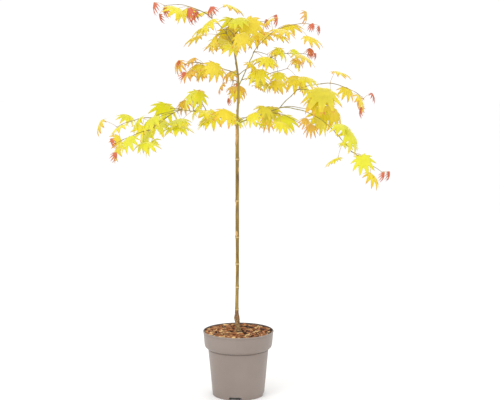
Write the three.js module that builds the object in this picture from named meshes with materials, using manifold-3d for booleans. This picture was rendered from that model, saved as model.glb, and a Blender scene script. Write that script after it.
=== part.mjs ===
// A young potted japanese maple: one slim grafted stem, two storeys of spreading boughs
// and hand-shaped leaves that turn from yellow to red at the tips of the shoots.
// Millimetres and degrees, +Z up, the origin at the centre of the pot's flat underside.
// The viewer looks along +Y, so an azimuth of 0 is to the right and 270 is towards the viewer.
import * as THREE from 'three';
import { mergeVertices } from 'three/addons/utils/BufferGeometryUtils.js';
import Module from 'manifold-3d';

const wasm = await Module();
wasm.setup();

// Driving dimensions
const GAP = 0.3;
const DEGREE = Math.PI / 180;
const UP = new THREE.Vector3(0, 0, 1);
const SAME_POINT = 1e-5; // corners closer than this are one
const UPRIGHT = 0.9; // a course steeper than this takes its side from the X axis

const POT = {
  height: 175, footRadius: 69.5, neckRadius: 81.2, neckHeight: 124.5, collarRadius: 89.5, collarHeight: 131,
  rimRadius: 95, wall: 2.2, lip: 3, lipDepth: 4, groove: 0.8, bevel: 1, padRadius: 28, floorHeight: 9,
  padSlope: 3, shoulderRise: 0.55, facets: 32,
};
const NOTCH = { count: 4, firstAzimuth: 263.4, height: 8.5, topWidth: 30, footWidth: 36, depth: 14 };
const DRAIN = { count: 4, firstAzimuth: 45, ringRadius: 50, radius: 4.5, depth: 8.8, facets: 8 };
const SOIL = { height: 160, edgeHeight: 168, crownHeight: 171, crownRadius: 14, slack: 0.5 };
const CHIPS = {
  count: 16, seed: 11, length: 17, width: 7, thickness: 3.4, innerRadius: 19, outerRadius: 79,
  smallest: 0.6, pitch: 24, roll: 20, raised: 0.4, goldenAngle: 137.5,
};

// Heights on the trunk where shoots leave it
const FORK = 729;
const MIDDLE_NODE = 826;
const UPPER_NODE = 856;
const TOP_NODE = 935;
const TIP = 960;

// The trunk's stations: height, offset to the right, radius
const TRUNK = [
  [SOIL.crownHeight + GAP, -1.2, 8.6], // the flat cut, at the spread of the roots
  [180, -1.6, 6.6],
  [198, -2.6, 5.9],
  [208, -3.4, 6.2], // the graft
  [219, -4.1, 5.2],
  [240, -3.9, 4.5],
  [260, -3.6, 4.4],
  [340, -2.4, 4.5],
  [470, -2.5, 4.7],
  [570, -2.4, 4.6],
  [662, -2.5, 4.5],
  [715, -2.3, 4.4],
  [FORK, -2.2, 4.0],
  [745, -1.9, 3.2],
  [764, -1.3, 3.0],
  [799, 0.5, 2.9],
  [MIDDLE_NODE, 1.4, 2.9],
  [UPPER_NODE, -0.2, 2.7],
  [887, -4.3, 2.5],
  [913, -8.5, 2.4],
  [TOP_NODE, -12.1, 2.3],
  [TIP, -10.5, 1.9],
];
const ROOTS = { count: 5, height: 24, spread: 0.3, turn: 0.6 };
const TRUNK_STEP = 5; // between the places on the trunk that leaves keep clear of
const TRUNK_FACETS = 10;
const BOUGH_FACETS = 5;
const TWIG_FACETS = 3;
const BOUGH_STEP = 14;

// Boughs: what each leaves, and where; its heading at the foot, how far it turns down, length, radii
const BOUGHS = {
  left_bough: { from: 'trunk', at: FORK, azimuth: 184, rise: 24, droop: 12, length: 83, radii: [2.2, 1.8] },
  left_outer_bough: {
    from: 'left_bough', azimuth: 186, rise: 15, droop: 12, length: 69, radii: [1.7, 1.5],
  },
  left_upper_bough: {
    from: 'left_outer_bough', azimuth: 146, rise: -6, droop: 14, length: 104, radii: [1.4, 1.1],
  },
  left_lower_bough: {
    from: 'left_outer_bough', azimuth: 217, rise: -15, droop: 25, length: 109, radii: [1.4, 1.1],
  },
  right_bough: { from: 'trunk', at: FORK, azimuth: 353, rise: 22, droop: 4, length: 84, radii: [2.3, 1.9] },
  right_outer_bough: {
    from: 'right_bough', azimuth: 352, rise: 22, droop: 0, length: 37, radii: [1.9, 1.7],
  },
  right_upper_bough: {
    from: 'right_outer_bough', azimuth: 29, rise: 44, droop: 8, length: 71, radii: [1.5, 1.3],
  },
  right_upper_outer_bough: {
    from: 'right_upper_bough', azimuth: 27, rise: 21, droop: 20, length: 74, radii: [1.3, 1.1],
  },
  right_drooping_bough: {
    from: 'right_outer_bough', azimuth: 331, rise: 3, droop: 42, length: 157, radii: [1.5, 1.3],
  },
  right_drooping_outer_bough: {
    from: 'right_drooping_bough', azimuth: 334, rise: -42, droop: 8, length: 84, radii: [1.2, 1.0],
  },
  upper_right_bough: {
    from: 'trunk', at: MIDDLE_NODE, azimuth: 306, rise: 53, droop: 0, length: 113, radii: [1.9, 1.5],
  },
  upper_right_outer_bough: {
    from: 'upper_right_bough', azimuth: 329, rise: 50, droop: 15, length: 61, radii: [1.3, 1.1],
  },
  middle_right_bough: {
    from: 'upper_right_bough', at: 0.2, azimuth: 12, rise: 14, droop: 18, length: 54, radii: [1.3, 1.1],
  },
  back_bough: {
    from: 'trunk', at: MIDDLE_NODE, azimuth: 98, rise: 25, droop: 30, length: 93, radii: [1.7, 1.3],
  },
  middle_left_bough: {
    from: 'trunk', at: UPPER_NODE, azimuth: 203, rise: 29, droop: 15, length: 55, radii: [1.6, 1.4],
  },
  middle_left_outer_bough: {
    from: 'middle_left_bough', azimuth: 211, rise: 16, droop: 10, length: 59, radii: [1.3, 1.1],
  },
  back_right_bough: {
    from: 'trunk', at: UPPER_NODE, azimuth: 32, rise: 34, droop: 18, length: 113, radii: [1.5, 1.2],
  },
  top_left_bough: {
    from: 'trunk', at: TOP_NODE, azimuth: 147, rise: 55, droop: 0, length: 38, radii: [1.7, 1.6],
  },
  top_left_outer_bough: {
    from: 'top_left_bough', azimuth: 151, rise: 46, droop: 10, length: 62, radii: [1.4, 1.2],
  },
};

// Masses of foliage: the stem as for a bough, then its pairs of leaves, the radius of a full leaf,
// how young the leaves are from the foot of the stem to its tip (0 yellow, 1 red and folded),
// the chance that a leaf's place holds a side twig, and the seed of its draws
const MASSES = {
  right_front_leaves: {
    from: 'right_outer_bough', azimuth: 335, rise: 8, droop: 20, length: 80,
    pairs: 1, leaf: 70, youth: [0, 0.2], twigs: 0, seed: 892,
  },
  left_lower_inner_leaves: {
    from: 'left_outer_bough', azimuth: 222, rise: -15, droop: 20, length: 85,
    pairs: 2, leaf: 62, youth: [0, 0.2], twigs: 0.2, seed: 445,
  },
  left_lower_leaves: {
    from: 'left_lower_bough', azimuth: 211, rise: -11, droop: 15, length: 104,
    pairs: 3, leaf: 54, youth: [0.1, 0.9], twigs: 0, seed: 819,
  },
  left_upper_inner_leaves: {
    from: 'left_outer_bough', azimuth: 165, rise: 18, droop: 25, length: 30,
    pairs: 1, leaf: 64, youth: [0, 0], twigs: 0, seed: 183,
  },
  left_upper_leaves: {
    from: 'left_upper_bough', azimuth: 151, rise: -2, droop: 24, length: 118,
    pairs: 3, leaf: 52, youth: [0.1, 0.5], twigs: 0, seed: 361,
  },
  right_drooping_inner_leaves: {
    from: 'right_drooping_bough', azimuth: 300, rise: -20, droop: 25, length: 40,
    pairs: 1, leaf: 62, youth: [0.1, 0.2], twigs: 0.3, seed: 464,
  },
  right_drooping_leaves: {
    from: 'right_drooping_outer_bough', azimuth: 335, rise: -34, droop: -5, length: 98,
    pairs: 3, leaf: 56, youth: [0.1, 1], twigs: 0, seed: 618,
  },
  right_upper_inner_leaves: {
    from: 'right_upper_bough', azimuth: 328, rise: 5, droop: 30, length: 65,
    pairs: 1, leaf: 74, youth: [0, 0.1], twigs: 0, seed: 832,
  },
  right_upper_leaves: {
    from: 'right_upper_outer_bough', azimuth: 28, rise: 4, droop: 42, length: 146,
    pairs: 3, leaf: 52, youth: [0.1, 0.75], twigs: 0, seed: 819,
  },
  top_middle_leaves: {
    from: 'top_left_bough', azimuth: 95, rise: 50, droop: 10, length: 20,
    pairs: 1, leaf: 68, youth: [0, 0.1], twigs: 0, seed: 204,
  },
  top_front_leaves: {
    from: 'trunk', at: TOP_NODE, azimuth: 252, rise: 40, droop: 30, length: 45,
    pairs: 1, leaf: 58, youth: [0.1, 0.45], twigs: 0, seed: 235,
  },
  top_right_leaves: {
    from: 'trunk', at: TIP, azimuth: 35, rise: 45, droop: 50, length: 112,
    pairs: 3, leaf: 64, youth: [0, 1], twigs: 0, seed: 506,
  },
  top_back_leaves: {
    from: 'trunk', at: TIP, azimuth: 120, rise: 40, droop: 40, length: 55,
    pairs: 1, leaf: 66, youth: [0, 0.15], twigs: 0, seed: 841,
  },
  top_left_inner_leaves: {
    from: 'top_left_outer_bough', azimuth: 75, rise: 35, droop: 20, length: 25,
    pairs: 1, leaf: 56, youth: [0, 0.1], twigs: 0, seed: 114,
  },
  top_left_leaves: {
    from: 'top_left_outer_bough', azimuth: 157, rise: 36, droop: 44, length: 148,
    pairs: 4, leaf: 64, youth: [0.1, 1], twigs: 0, seed: 647,
  },
  top_left_raised_leaves: {
    from: 'top_left_outer_bough', azimuth: 195, rise: 42, droop: 40, length: 60,
    pairs: 1, leaf: 68, youth: [0.75, 0.85], twigs: 0, seed: 448,
  },
  top_left_hanging_leaves: {
    from: 'top_left_bough', azimuth: 215, rise: 0, droop: 20, length: 30,
    pairs: 1, leaf: 60, youth: [0, 0], twigs: 0, seed: 464,
  },
  upper_right_inner_leaves: {
    from: 'upper_right_bough', azimuth: 330, rise: 0, droop: 20, length: 40,
    pairs: 1, leaf: 48, youth: [0.1, 0.1], twigs: 0, seed: 739,
  },
  upper_right_leaves: {
    from: 'upper_right_outer_bough', azimuth: 339, rise: 35, droop: 45, length: 121,
    pairs: 3, leaf: 56, youth: [0.1, 1], twigs: 0, seed: 343,
  },
  middle_right_inner_leaves: {
    from: 'middle_right_bough', azimuth: 282, rise: 0, droop: 20, length: 20,
    pairs: 1, leaf: 48, youth: [0.1, 0.2], twigs: 0, seed: 611,
  },
  middle_right_leaves: {
    from: 'middle_right_bough', azimuth: 24, rise: 24, droop: 12, length: 80,
    pairs: 2, leaf: 70, youth: [0, 0.4], twigs: 0, seed: 636,
  },
  middle_left_inner_leaves: {
    from: 'middle_left_bough', azimuth: 225, rise: 5, droop: 20, length: 35,
    pairs: 1, leaf: 52, youth: [0.3, 0.4], twigs: 0, seed: 454,
  },
  middle_left_leaves: {
    from: 'middle_left_outer_bough', azimuth: 233, rise: 8, droop: 25, length: 65,
    pairs: 3, leaf: 54, youth: [0.45, 1], twigs: 0, seed: 599,
  },
  back_right_inner_leaves: {
    from: 'back_right_bough', azimuth: 310, rise: -10, droop: 20, length: 25,
    pairs: 1, leaf: 48, youth: [0.1, 0.2], twigs: 0, seed: 434,
  },
  back_right_leaves: {
    from: 'back_right_bough', azimuth: 30, rise: 17, droop: 30, length: 130,
    pairs: 3, leaf: 46, youth: [0.3, 1], twigs: 0, seed: 453,
  },
  right_top_leaves: {
    from: 'right_bough', azimuth: 40, rise: 30, droop: 30, length: 30,
    pairs: 1, leaf: 60, youth: [0.1, 0.3], twigs: 0, seed: 789,
  },
  right_hanging_leaves: {
    from: 'right_bough', azimuth: 332, rise: 0, droop: 30, length: 105,
    pairs: 2, leaf: 48, youth: [0.1, 0.7], twigs: 0, seed: 694,
  },
  left_raised_leaves: {
    from: 'left_bough', azimuth: 123, rise: 51, droop: 40, length: 85,
    pairs: 2, leaf: 58, youth: [0.1, 0.65], twigs: 0, seed: 583,
  },
  left_hanging_leaves: {
    from: 'left_bough', azimuth: 224, rise: 25, droop: 25, length: 50,
    pairs: 2, leaf: 58, youth: [0.1, 0.25], twigs: 0, seed: 784,
  },
  left_inner_leaves: {
    from: 'trunk', at: FORK, azimuth: 226, rise: 36, droop: 30, length: 60,
    pairs: 1, leaf: 58, youth: [0.1, 0.2], twigs: 0, seed: 171,
  },
  right_inner_leaves: {
    from: 'trunk', at: FORK, azimuth: 312, rise: 36, droop: 30, length: 70,
    pairs: 1, leaf: 46, youth: [0.1, 0.2], twigs: 0, seed: 458,
  },
  back_leaves: {
    from: 'back_bough', azimuth: 95, rise: 3, droop: 40, length: 110,
    pairs: 3, leaf: 46, youth: [0.4, 1], twigs: 0, seed: 485,
  },
  back_lower_leaves: {
    from: 'trunk', at: FORK, azimuth: 75, rise: 20, droop: 40, length: 160,
    pairs: 3, leaf: 60, youth: [0, 0.7], twigs: 0.2, seed: 507,
  },
};

const FEWEST_STEPS = 4;
const STEM = { foot: 1.15, tip: 0.6, twigFoot: 0.85, twigTip: 0.6, stalkFoot: 0.7, stalkTip: 0.6 };
// A shoot sways from step to step: degrees to the side and up, and how fast each alternates
const SWAY = { side: 5, sideRate: 2.4, lift: 4, liftRate: 1.7 };
// How pairs of leaves follow each other on a stem, and what they keep clear of
const GROWTH = {
  stemPlaces: 41, tries: 6, draws: 5, limbClearance: 2.5, leafClearance: 3, stalkClearance: 2, reach: 8,
  stalkPlaces: 13, stalkFoot: 4, firstPair: 0.5, pairTurn: 90, pairSwing: 60, youthPower: 2.2,
};
const TWIG = {
  steps: 3, places: 9, limit: 0.9, share: 0.3, length: 28, out: 0.75, onward: 0.65, rise: 5, droop: 20,
  youth: 0.12, tilt: 40,
};
// A leaf's stalk: its course, and its length as shares of the leaf's radius; swing turns the blade
const STALK = {
  out: 0.75, onward: 0.45, lift: 0.3, sag: 0.3, shortest: 0.3, range: 0.55, extra: 10, swing: 110,
};
// How a blade hangs: degrees of pitch and lean, radians of fold at its centre and of bend out to its edge
const HANG = {
  pitch: -4, pitchRange: 46, youthPitch: 24, lean: 64, fold: 0.12, youthFold: 0.68,
  bend: 0.6, pitchBend: 0.3, steepest: 1.42,
};
const SIZE = { least: 0.84, range: 0.26, youthShrink: 0.48, shrinkPower: 1.6 };
// Half of a leaf's lobes, from the middle one outwards: angle and length as a share of the leaf's radius
const LOBES = [[0, 1], [30, 0.97], [60, 0.86], [92, 0.66], [128, 0.42]];
const LEAF = {
  shoulder: 0.68, shoulderAngle: 10, pointedBelow: 0.9, foldedAbove: 0.6, sinus: 0.5, sinusRise: 0.02,
  notch: 0.08, thickness: 1 / 45, stalkEnd: 0.03, sink: 0.7,
};
// The places on a blade that are tested for room: shares of each lobe, and one beside it
const PLACES = { lobe: [0.4, 0.7, 1], webAngle: 15, web: 0.55 };

// How young a mass is on average when it looks golden, and when it looks red
const TINTS = { gold: 0.3, red: 0.6 };
const FINISHES = {
  pot: { color: 0x8f8179, roughness: 0.6 },
  mix: { color: 0x3b2a1c, roughness: 0.95 },
  mulch: { color: 0x8a5a35, roughness: 0.9 },
  bark: { color: 0xa5875a, roughness: 0.8 },
  youngBark: { color: 0x6e4a30, roughness: 0.7 },
  yellow: { color: 0xe8d931, roughness: 0.6 },
  gold: { color: 0xe9c044, roughness: 0.6 },
  red: { color: 0xd4634d, roughness: 0.6 },
};

// Draws numbers from 0 to 1 by a linear congruential rule
function seeded(seed) {
  let state = (Math.imul(seed, 747796405) + 2891336453) >>> 0;
  const draw = () => {
    state = (Math.imul(state, 1664525) + 1013904223) >>> 0;
    return state / 4294967296;
  };
  draw();
  return draw;
}

function mix(a, b, t) {
  return a + (b - a) * t;
}

function heading(azimuth, pitch) {
  const [a, p] = [azimuth * DEGREE, pitch * DEGREE];
  return new THREE.Vector3(Math.cos(p) * Math.cos(a), Math.cos(p) * Math.sin(a), Math.sin(p));
}

function azimuthOf(v) {
  return Math.atan2(v.y, v.x) / DEGREE;
}

// The points of a shoot that leaves start, turns down by droop along its length, and sways
function walk(start, { azimuth, rise, droop, length }, steps) {
  const points = [start.clone()];
  for (let i = 0; i < steps; i += 1) {
    const side = azimuth + SWAY.side * Math.sin(SWAY.sideRate * i);
    const pitch = rise - droop * (i + 0.5) / steps + SWAY.lift * Math.cos(SWAY.liftRate * i);
    points.push(points[i].clone().addScaledVector(heading(side, pitch), length / steps));
  }
  return points;
}

function segmentAt(points, t) {
  const place = Math.min(Math.max(t, 0), 1) * (points.length - 1);
  return [place, Math.min(Math.floor(place), points.length - 2)];
}

function along(points, t) {
  const [place, i] = segmentAt(points, t);
  return points[i].clone().lerp(points[i + 1], place - i);
}

function courseAt(points, t) {
  const place = Math.min(Math.max(t, 0), 1) * (points.length - 1);
  const i = Math.min(Math.max(Math.floor(place - 1e-9), 0), points.length - 2);
  return points[i + 1].clone().sub(points[i]).normalize();
}

function spread(points, count) {
  return Array.from({ length: count }, (_, i) => along(points, i / (count - 1)));
}

function onTrunk(height) {
  const i = Math.max(TRUNK.findIndex((station) => station[0] >= height), 1);
  const [low, high] = [TRUNK[i - 1], TRUNK[i]];
  const t = (height - low[0]) / (high[0] - low[0]);
  return new THREE.Vector3(mix(low[1], high[1], t), 0, height);
}

// The unit vector that stands out from a shoot, turned round it by roll
function outward(course, roll) {
  const flat = UP.clone().cross(course).normalize();
  const top = course.clone().cross(flat);
  return flat.multiplyScalar(Math.cos(roll * DEGREE)).addScaledVector(top, Math.sin(roll * DEGREE));
}

const ALL_LOBES = LOBES.flatMap(([angle, length]) => (
  angle === 0 ? [[angle, length]] : [[angle, length], [-angle, length]]
));

// One leaf: a blade that arches down from its centre, on a stalk that bends once
class Leaf {
  constructor(centre, axes, size, fold, bend, stalk, youth) {
    Object.assign(this, { centre, axes, size, fold, bend, stalk, youth, curl: bend / size });
    const lobePlaces = ALL_LOBES.flatMap(([angle, length]) => (
      PLACES.lobe.map((part) => this.at(angle, part * length))
    ));
    const webPlaces = ALL_LOBES.map(([angle, length]) => (
      this.at(angle + PLACES.webAngle, PLACES.web * length)
    ));
    this.places = [...lobePlaces, ...webPlaces, centre];
    this.stalkPlaces = spread(stalk, GROWTH.stalkPlaces).slice(GROWTH.stalkFoot);
  }

  // A point of the blade, at an angle from its middle lobe and a share of the leaf's radius
  at(angle, part) {
    const turn = this.fold + this.curl * part * this.size;
    const out = (Math.sin(turn) - Math.sin(this.fold)) / this.curl;
    const drop = (Math.cos(this.fold) - Math.cos(turn)) / this.curl;
    return this.centre.clone()
      .addScaledVector(this.axes.main, out * Math.cos(angle * DEGREE))
      .addScaledVector(this.axes.side, out * Math.sin(angle * DEGREE))
      .addScaledVector(this.axes.up, -drop);
  }

  // Whether the two stalks come within the clearance of each other
  stalkMeets(other, clearance) {
    return this.stalkPlaces.some((a) => other.stalkPlaces.some((b) => a.distanceTo(b) < clearance));
  }

  // Whether any of the points lies within the clearance of the blade
  touches(points, clearance) {
    return points.some((point) => {
      const away = point.clone().sub(this.centre);
      const out = Math.hypot(away.dot(this.axes.main), away.dot(this.axes.side));
      const sine = Math.sin(this.fold) + this.curl * out;
      if (sine >= Math.sin(this.fold + this.bend)) return false;
      const cosine = Math.sqrt(Math.max(1 - sine * sine, 1e-9));
      const drop = (Math.cos(this.fold) - cosine) / this.curl;
      return Math.abs(away.dot(this.axes.up) + drop) * cosine < clearance;
    });
  }
}

// The unit vector between two courses, each with its weight, and an upward share
function blend(a, weightA, b, weightB, lift = 0) {
  return a.clone().multiplyScalar(weightA).addScaledVector(b, weightB).addScaledVector(UP, lift).normalize();
}

// Makes one try at a leaf from five draws: the stalk's swing and length, the blade's pitch, lean and size
function makeLeaf(node, out, course, fullSize, youth, [swing, reach, pitch, roll, growth]) {
  const size = fullSize * (SIZE.least + SIZE.range * growth);
  const start = blend(out, STALK.out, course, STALK.onward, STALK.lift);
  const length = size * (STALK.shortest + STALK.range * reach) + STALK.extra;
  const middle = node.clone().addScaledVector(start, length / 2);
  const sagged = start.clone().addScaledVector(UP, -STALK.sag).normalize();
  const centre = middle.clone().addScaledVector(sagged, length / 2);
  const azimuth = azimuthOf(sagged) + STALK.swing * (swing - 0.5);
  const main = heading(azimuth, -(HANG.pitch + HANG.pitchRange * pitch + HANG.youthPitch * youth));
  const flat = heading(azimuth + 90, 0);
  const above = main.clone().cross(flat);
  const lean = HANG.lean * (roll - 0.5) * DEGREE;
  const side = flat.clone().multiplyScalar(Math.cos(lean)).addScaledVector(above, Math.sin(lean));
  const up = above.clone().multiplyScalar(Math.cos(lean)).addScaledVector(flat, -Math.sin(lean));
  const fold = HANG.fold + HANG.youthFold * youth ** 2;
  const bend = Math.min(HANG.bend + HANG.pitchBend * pitch, HANG.steepest - fold);
  return new Leaf(centre, { main, side, up }, size, fold, bend, [node, middle, centre], youth);
}

function isFree(leaf, others, limbPlaces) {
  if (leaf.touches(limbPlaces, GROWTH.limbClearance)) return false;
  return others.every((other) => {
    if (other.centre.distanceTo(leaf.centre) > other.size + leaf.size + GROWTH.reach) return true;
    return !other.touches(leaf.places, GROWTH.leafClearance)
      && !leaf.touches(other.places, GROWTH.leafClearance)
      && !other.touches([leaf.stalk[1]], GROWTH.stalkClearance)
      && !leaf.touches([other.stalk[1]], GROWTH.stalkClearance)
      && !leaf.stalkMeets(other, GROWTH.stalkClearance);
  });
}

// Adds the first try at a leaf that is free of limbs and other leaves, or none
function addLeaf(node, out, course, fullSize, youth, draw, grown, plant) {
  const size = fullSize * (1 - SIZE.youthShrink * youth ** SIZE.shrinkPower);
  const tries = Array.from({ length: GROWTH.tries }, () => Array.from({ length: GROWTH.draws }, draw));
  if (!grown) return;
  for (const numbers of tries) {
    const leaf = makeLeaf(node, out, course, size, youth, numbers);
    if (isFree(leaf, [...plant.leaves, ...grown.leaves], [...plant.places, ...grown.places])) {
      grown.leaves.push(leaf);
      return;
    }
  }
}

// Grows a mass: pairs of leaves along its stem, some on a side twig that carries a pair of its own
function growMass(stem, mass, plant) {
  const draw = seeded(mass.seed);
  const grown = { stem, twigs: [], leaves: [], places: [] };
  const firstRoll = 360 * draw();
  for (let k = 0; k < mass.pairs; k += 1) {
    const t = (k + GROWTH.firstPair) / (mass.pairs - 1 + GROWTH.firstPair);
    const [node, course] = [along(stem, t), courseAt(stem, t)];
    const youth = mix(mass.youth[0], mass.youth[1], t ** GROWTH.youthPower);
    for (const side of [0, 1]) {
      const roll = firstRoll + GROWTH.pairTurn * (k % 2) + 180 * side + GROWTH.pairSwing * (draw() - 0.5);
      const out = outward(course, roll);
      if (draw() < mass.twigs && t < TWIG.limit) {
        growTwig(node, out, course, mass, t, youth, draw, grown, plant);
      } else {
        addLeaf(node, out, course, mass.leaf, youth, draw, grown, plant);
      }
    }
  }
  return grown;
}

function growTwig(node, out, course, mass, t, youth, draw, grown, plant) {
  const way = blend(out, TWIG.out, course, TWIG.onward);
  const length = (1 - t) * TWIG.share * mass.length + TWIG.length;
  const rise = Math.asin(way.z) / DEGREE + TWIG.rise;
  const twig = walk(node, { azimuth: azimuthOf(way), rise, droop: TWIG.droop, length }, TWIG.steps);
  const places = spread(twig, TWIG.places);
  const blocked = [...plant.leaves, ...grown.leaves].some((leaf) => (
    leaf.touches(places.slice(1), GROWTH.stalkClearance)
  ));
  if (!blocked) {
    grown.twigs.push(twig);
    grown.places.push(...places);
  }
  const tilt = TWIG.tilt * (draw() - 0.5);
  const [tip, end] = [courseAt(twig, 1), twig[TWIG.steps]];
  const young = Math.min(youth + TWIG.youth, 1);
  for (const side of [0, 1]) {
    addLeaf(end, outward(tip, tilt + 180 * side), tip, mass.leaf, young, draw, blocked ? null : grown, plant);
  }
}

// A closed solid from a three.js geometry
function solid(geometry) {
  const bare = geometry.clone();
  bare.deleteAttribute('normal');
  bare.deleteAttribute('uv');
  const merged = mergeVertices(bare, SAME_POINT);
  return new wasm.Manifold(new wasm.Mesh({
    numProp: 3,
    vertProperties: new Float32Array(merged.attributes.position.array),
    triVerts: new Uint32Array(merged.index.array),
  }));
}

function geometryOf(body) {
  const { vertProperties, triVerts } = body.getMesh();
  const geometry = new THREE.BufferGeometry();
  geometry.setAttribute('position', new THREE.BufferAttribute(new Float32Array(vertProperties), 3));
  geometry.setIndex(new THREE.BufferAttribute(new Uint32Array(triVerts), 1));
  geometry.computeVertexNormals();
  return geometry;
}

function join(solids) {
  return solids.reduce((whole, piece) => whole.add(piece));
}

// The largest piece of a solid, so that no loose scrap is kept
function mainPiece(body) {
  const pieces = body.decompose();
  return pieces.reduce((best, piece) => (piece.volume() > best.volume() ? piece : best));
}

// Square axes at each point of a path, carried along it without twisting
function framesAlong(points) {
  const courses = points.map((_, i) => (
    points[Math.min(i + 1, points.length - 1)].clone().sub(points[Math.max(i - 1, 0)]).normalize()
  ));
  let side = Math.abs(courses[0].z) > UPRIGHT ? new THREE.Vector3(1, 0, 0) : UP.clone().cross(courses[0]);
  return courses.map((course) => {
    side = side.clone().addScaledVector(course, -side.dot(course)).normalize();
    return { side, top: side.clone().cross(course) };
  });
}

// A cylinder bent along the points; radiusAt gives its radius from the step and the angle round it
function tube(points, radiusAt, facets, frames = framesAlong(points)) {
  const steps = points.length - 1;
  const geometry = new THREE.CylinderGeometry(1, 1, steps, facets, steps);
  const position = geometry.attributes.position;
  for (let i = 0; i < position.count; i += 1) {
    const step = Math.round(position.getY(i) + steps / 2);
    const [x, z] = [position.getX(i), position.getZ(i)];
    const radius = radiusAt(step, Math.atan2(z, x));
    const place = points[step].clone()
      .addScaledVector(frames[step].side, x * radius)
      .addScaledVector(frames[step].top, z * radius);
    position.setXYZ(i, place.x, place.y, place.z);
  }
  return geometry;
}

// A limb that tapers evenly; swell makes it thicker and longer all round
function taperedLimb(points, [foot, tip], facets, swell = 0) {
  const last = points.length - 1;
  const ends = points.map((point) => point.clone());
  ends[0].addScaledVector(courseAt(points, 0), -swell);
  ends[last].addScaledVector(courseAt(points, 1), swell);
  return solid(tube(ends, (step) => mix(foot, tip, step / last) + swell, facets));
}

// The trunk: level rings, so that its foot is a flat cut, with the roots' ridges running into the foot
function trunkSolid(swell = 0) {
  const points = TRUNK.map(([height, offset]) => new THREE.Vector3(offset, 0, height));
  const level = { side: new THREE.Vector3(1, 0, 0), top: new THREE.Vector3(0, -1, 0) };
  const radiusAt = (step, angle) => {
    const [height, , radius] = TRUNK[step];
    const low = Math.max(1 - (height - TRUNK[0][0]) / ROOTS.height, 0);
    return radius * (1 + ROOTS.spread * low * low * Math.cos(ROOTS.count * angle + ROOTS.turn)) + swell;
  };
  points[points.length - 1].z += swell;
  return solid(tube(points, radiusAt, TRUNK_FACETS, points.map(() => level)));
}

// A blade: two fans that meet along the lobed outline, thickest at the leaf's centre
function bladeSolid(leaf) {
  const lobes = [...ALL_LOBES].sort((a, b) => a[0] - b[0]);
  const outline = [leaf.at(180, LEAF.notch)];
  lobes.forEach(([angle, length], i) => {
    if (i > 0) {
      const [before, shorter] = [lobes[i - 1][0], Math.min(lobes[i - 1][1], length)];
      outline.push(leaf.at((before + angle) / 2, LEAF.sinus * shorter + LEAF.sinusRise));
    }
    const pointed = length < LEAF.pointedBelow || leaf.youth > LEAF.foldedAbove;
    const turns = pointed ? [0] : [-LEAF.shoulderAngle, 0, LEAF.shoulderAngle];
    outline.push(...turns.map((turn) => leaf.at(angle + turn, turn === 0 ? length : LEAF.shoulder * length)));
  });
  const half = leaf.size * LEAF.thickness / 2;
  const points = [
    ...outline,
    leaf.centre.clone().addScaledVector(leaf.axes.up, half),
    leaf.centre.clone().addScaledVector(leaf.axes.up, -half),
  ];
  const count = outline.length;
  const index = outline.flatMap((_, i) => [i, (i + 1) % count, count, (i + 1) % count, i, count + 1]);
  const geometry = new THREE.BufferGeometry().setFromPoints(points);
  geometry.setIndex(index);
  return solid(geometry);
}

function stalkSolid(leaf) {
  const [node, middle] = leaf.stalk;
  const base = leaf.at(180, LEAF.stalkEnd);
  const end = base.clone().addScaledVector(base.clone().sub(middle).normalize(), LEAF.sink);
  return taperedLimb([node, middle, end], [STEM.stalkFoot, STEM.stalkTip], TWIG_FACETS);
}

function massSolid(grown) {
  const twigs = grown.twigs.map((twig) => taperedLimb(twig, [STEM.twigFoot, STEM.twigTip], TWIG_FACETS));
  const stem = taperedLimb(grown.stem, [STEM.foot, STEM.tip], TWIG_FACETS);
  return join([stem, ...twigs, ...grown.leaves.map(stalkSolid), ...grown.leaves.map(bladeSolid)]);
}

function mesh(name, body, finish) {
  const material = new THREE.MeshStandardMaterial({ ...finish, metalness: 0 });
  const object = new THREE.Mesh(geometryOf(body), material);
  object.name = name;
  return object;
}

function lathe(profile, facets) {
  const points = profile.map(([radius, height]) => new THREE.Vector2(radius, height));
  return solid(new THREE.LatheGeometry(points, facets).rotateX(Math.PI / 2));
}

// The radius of the wall's outer face below the neck
function wallRadius(height) {
  return mix(POT.footRadius, POT.neckRadius, height / POT.neckHeight);
}

// The pot's wall turned round the axis, with a raised floor inside its foot, notches and drain holes
function potSolid() {
  const { height, wall, bevel, rimRadius, padRadius, padSlope, floorHeight } = POT;
  const floorTop = floorHeight + wall;
  const lipBottom = height - POT.lipDepth;
  const outside = [
    [0, 0], [padRadius, 0], [padRadius + padSlope, floorHeight],
    [wallRadius(floorHeight) - wall, floorHeight], [wallRadius(0) - wall, 0], [POT.footRadius, 0],
    [POT.neckRadius, POT.neckHeight], [POT.collarRadius, POT.collarHeight],
    [rimRadius - POT.groove, lipBottom], [rimRadius, lipBottom + bevel], [rimRadius, height - bevel],
    [rimRadius - bevel, height],
  ];
  const inside = [
    [rimRadius - POT.lip, height], [mulchRadius(lipBottom) + SOIL.slack, lipBottom],
    [POT.collarRadius - wall, POT.collarHeight + POT.shoulderRise],
    [POT.neckRadius - wall, POT.neckHeight + POT.shoulderRise],
    [wallRadius(floorTop) - wall, floorTop], [padRadius + padSlope + wall, floorTop],
    [padRadius + wall, wall], [0, wall],
  ];
  const tools = [
    ...turned(NOTCH.count, NOTCH.firstAzimuth, notchTool()),
    ...turned(DRAIN.count, DRAIN.firstAzimuth, drainTool()),
  ];
  return tools.reduce((pot, tool) => pot.subtract(solid(tool)), lathe([...outside, ...inside], POT.facets));
}

function turned(count, first, geometry) {
  const azimuths = Array.from({ length: count }, (_, i) => first + i * 360 / count);
  return azimuths.map((azimuth) => geometry.clone().rotateZ(azimuth * DEGREE));
}

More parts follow.
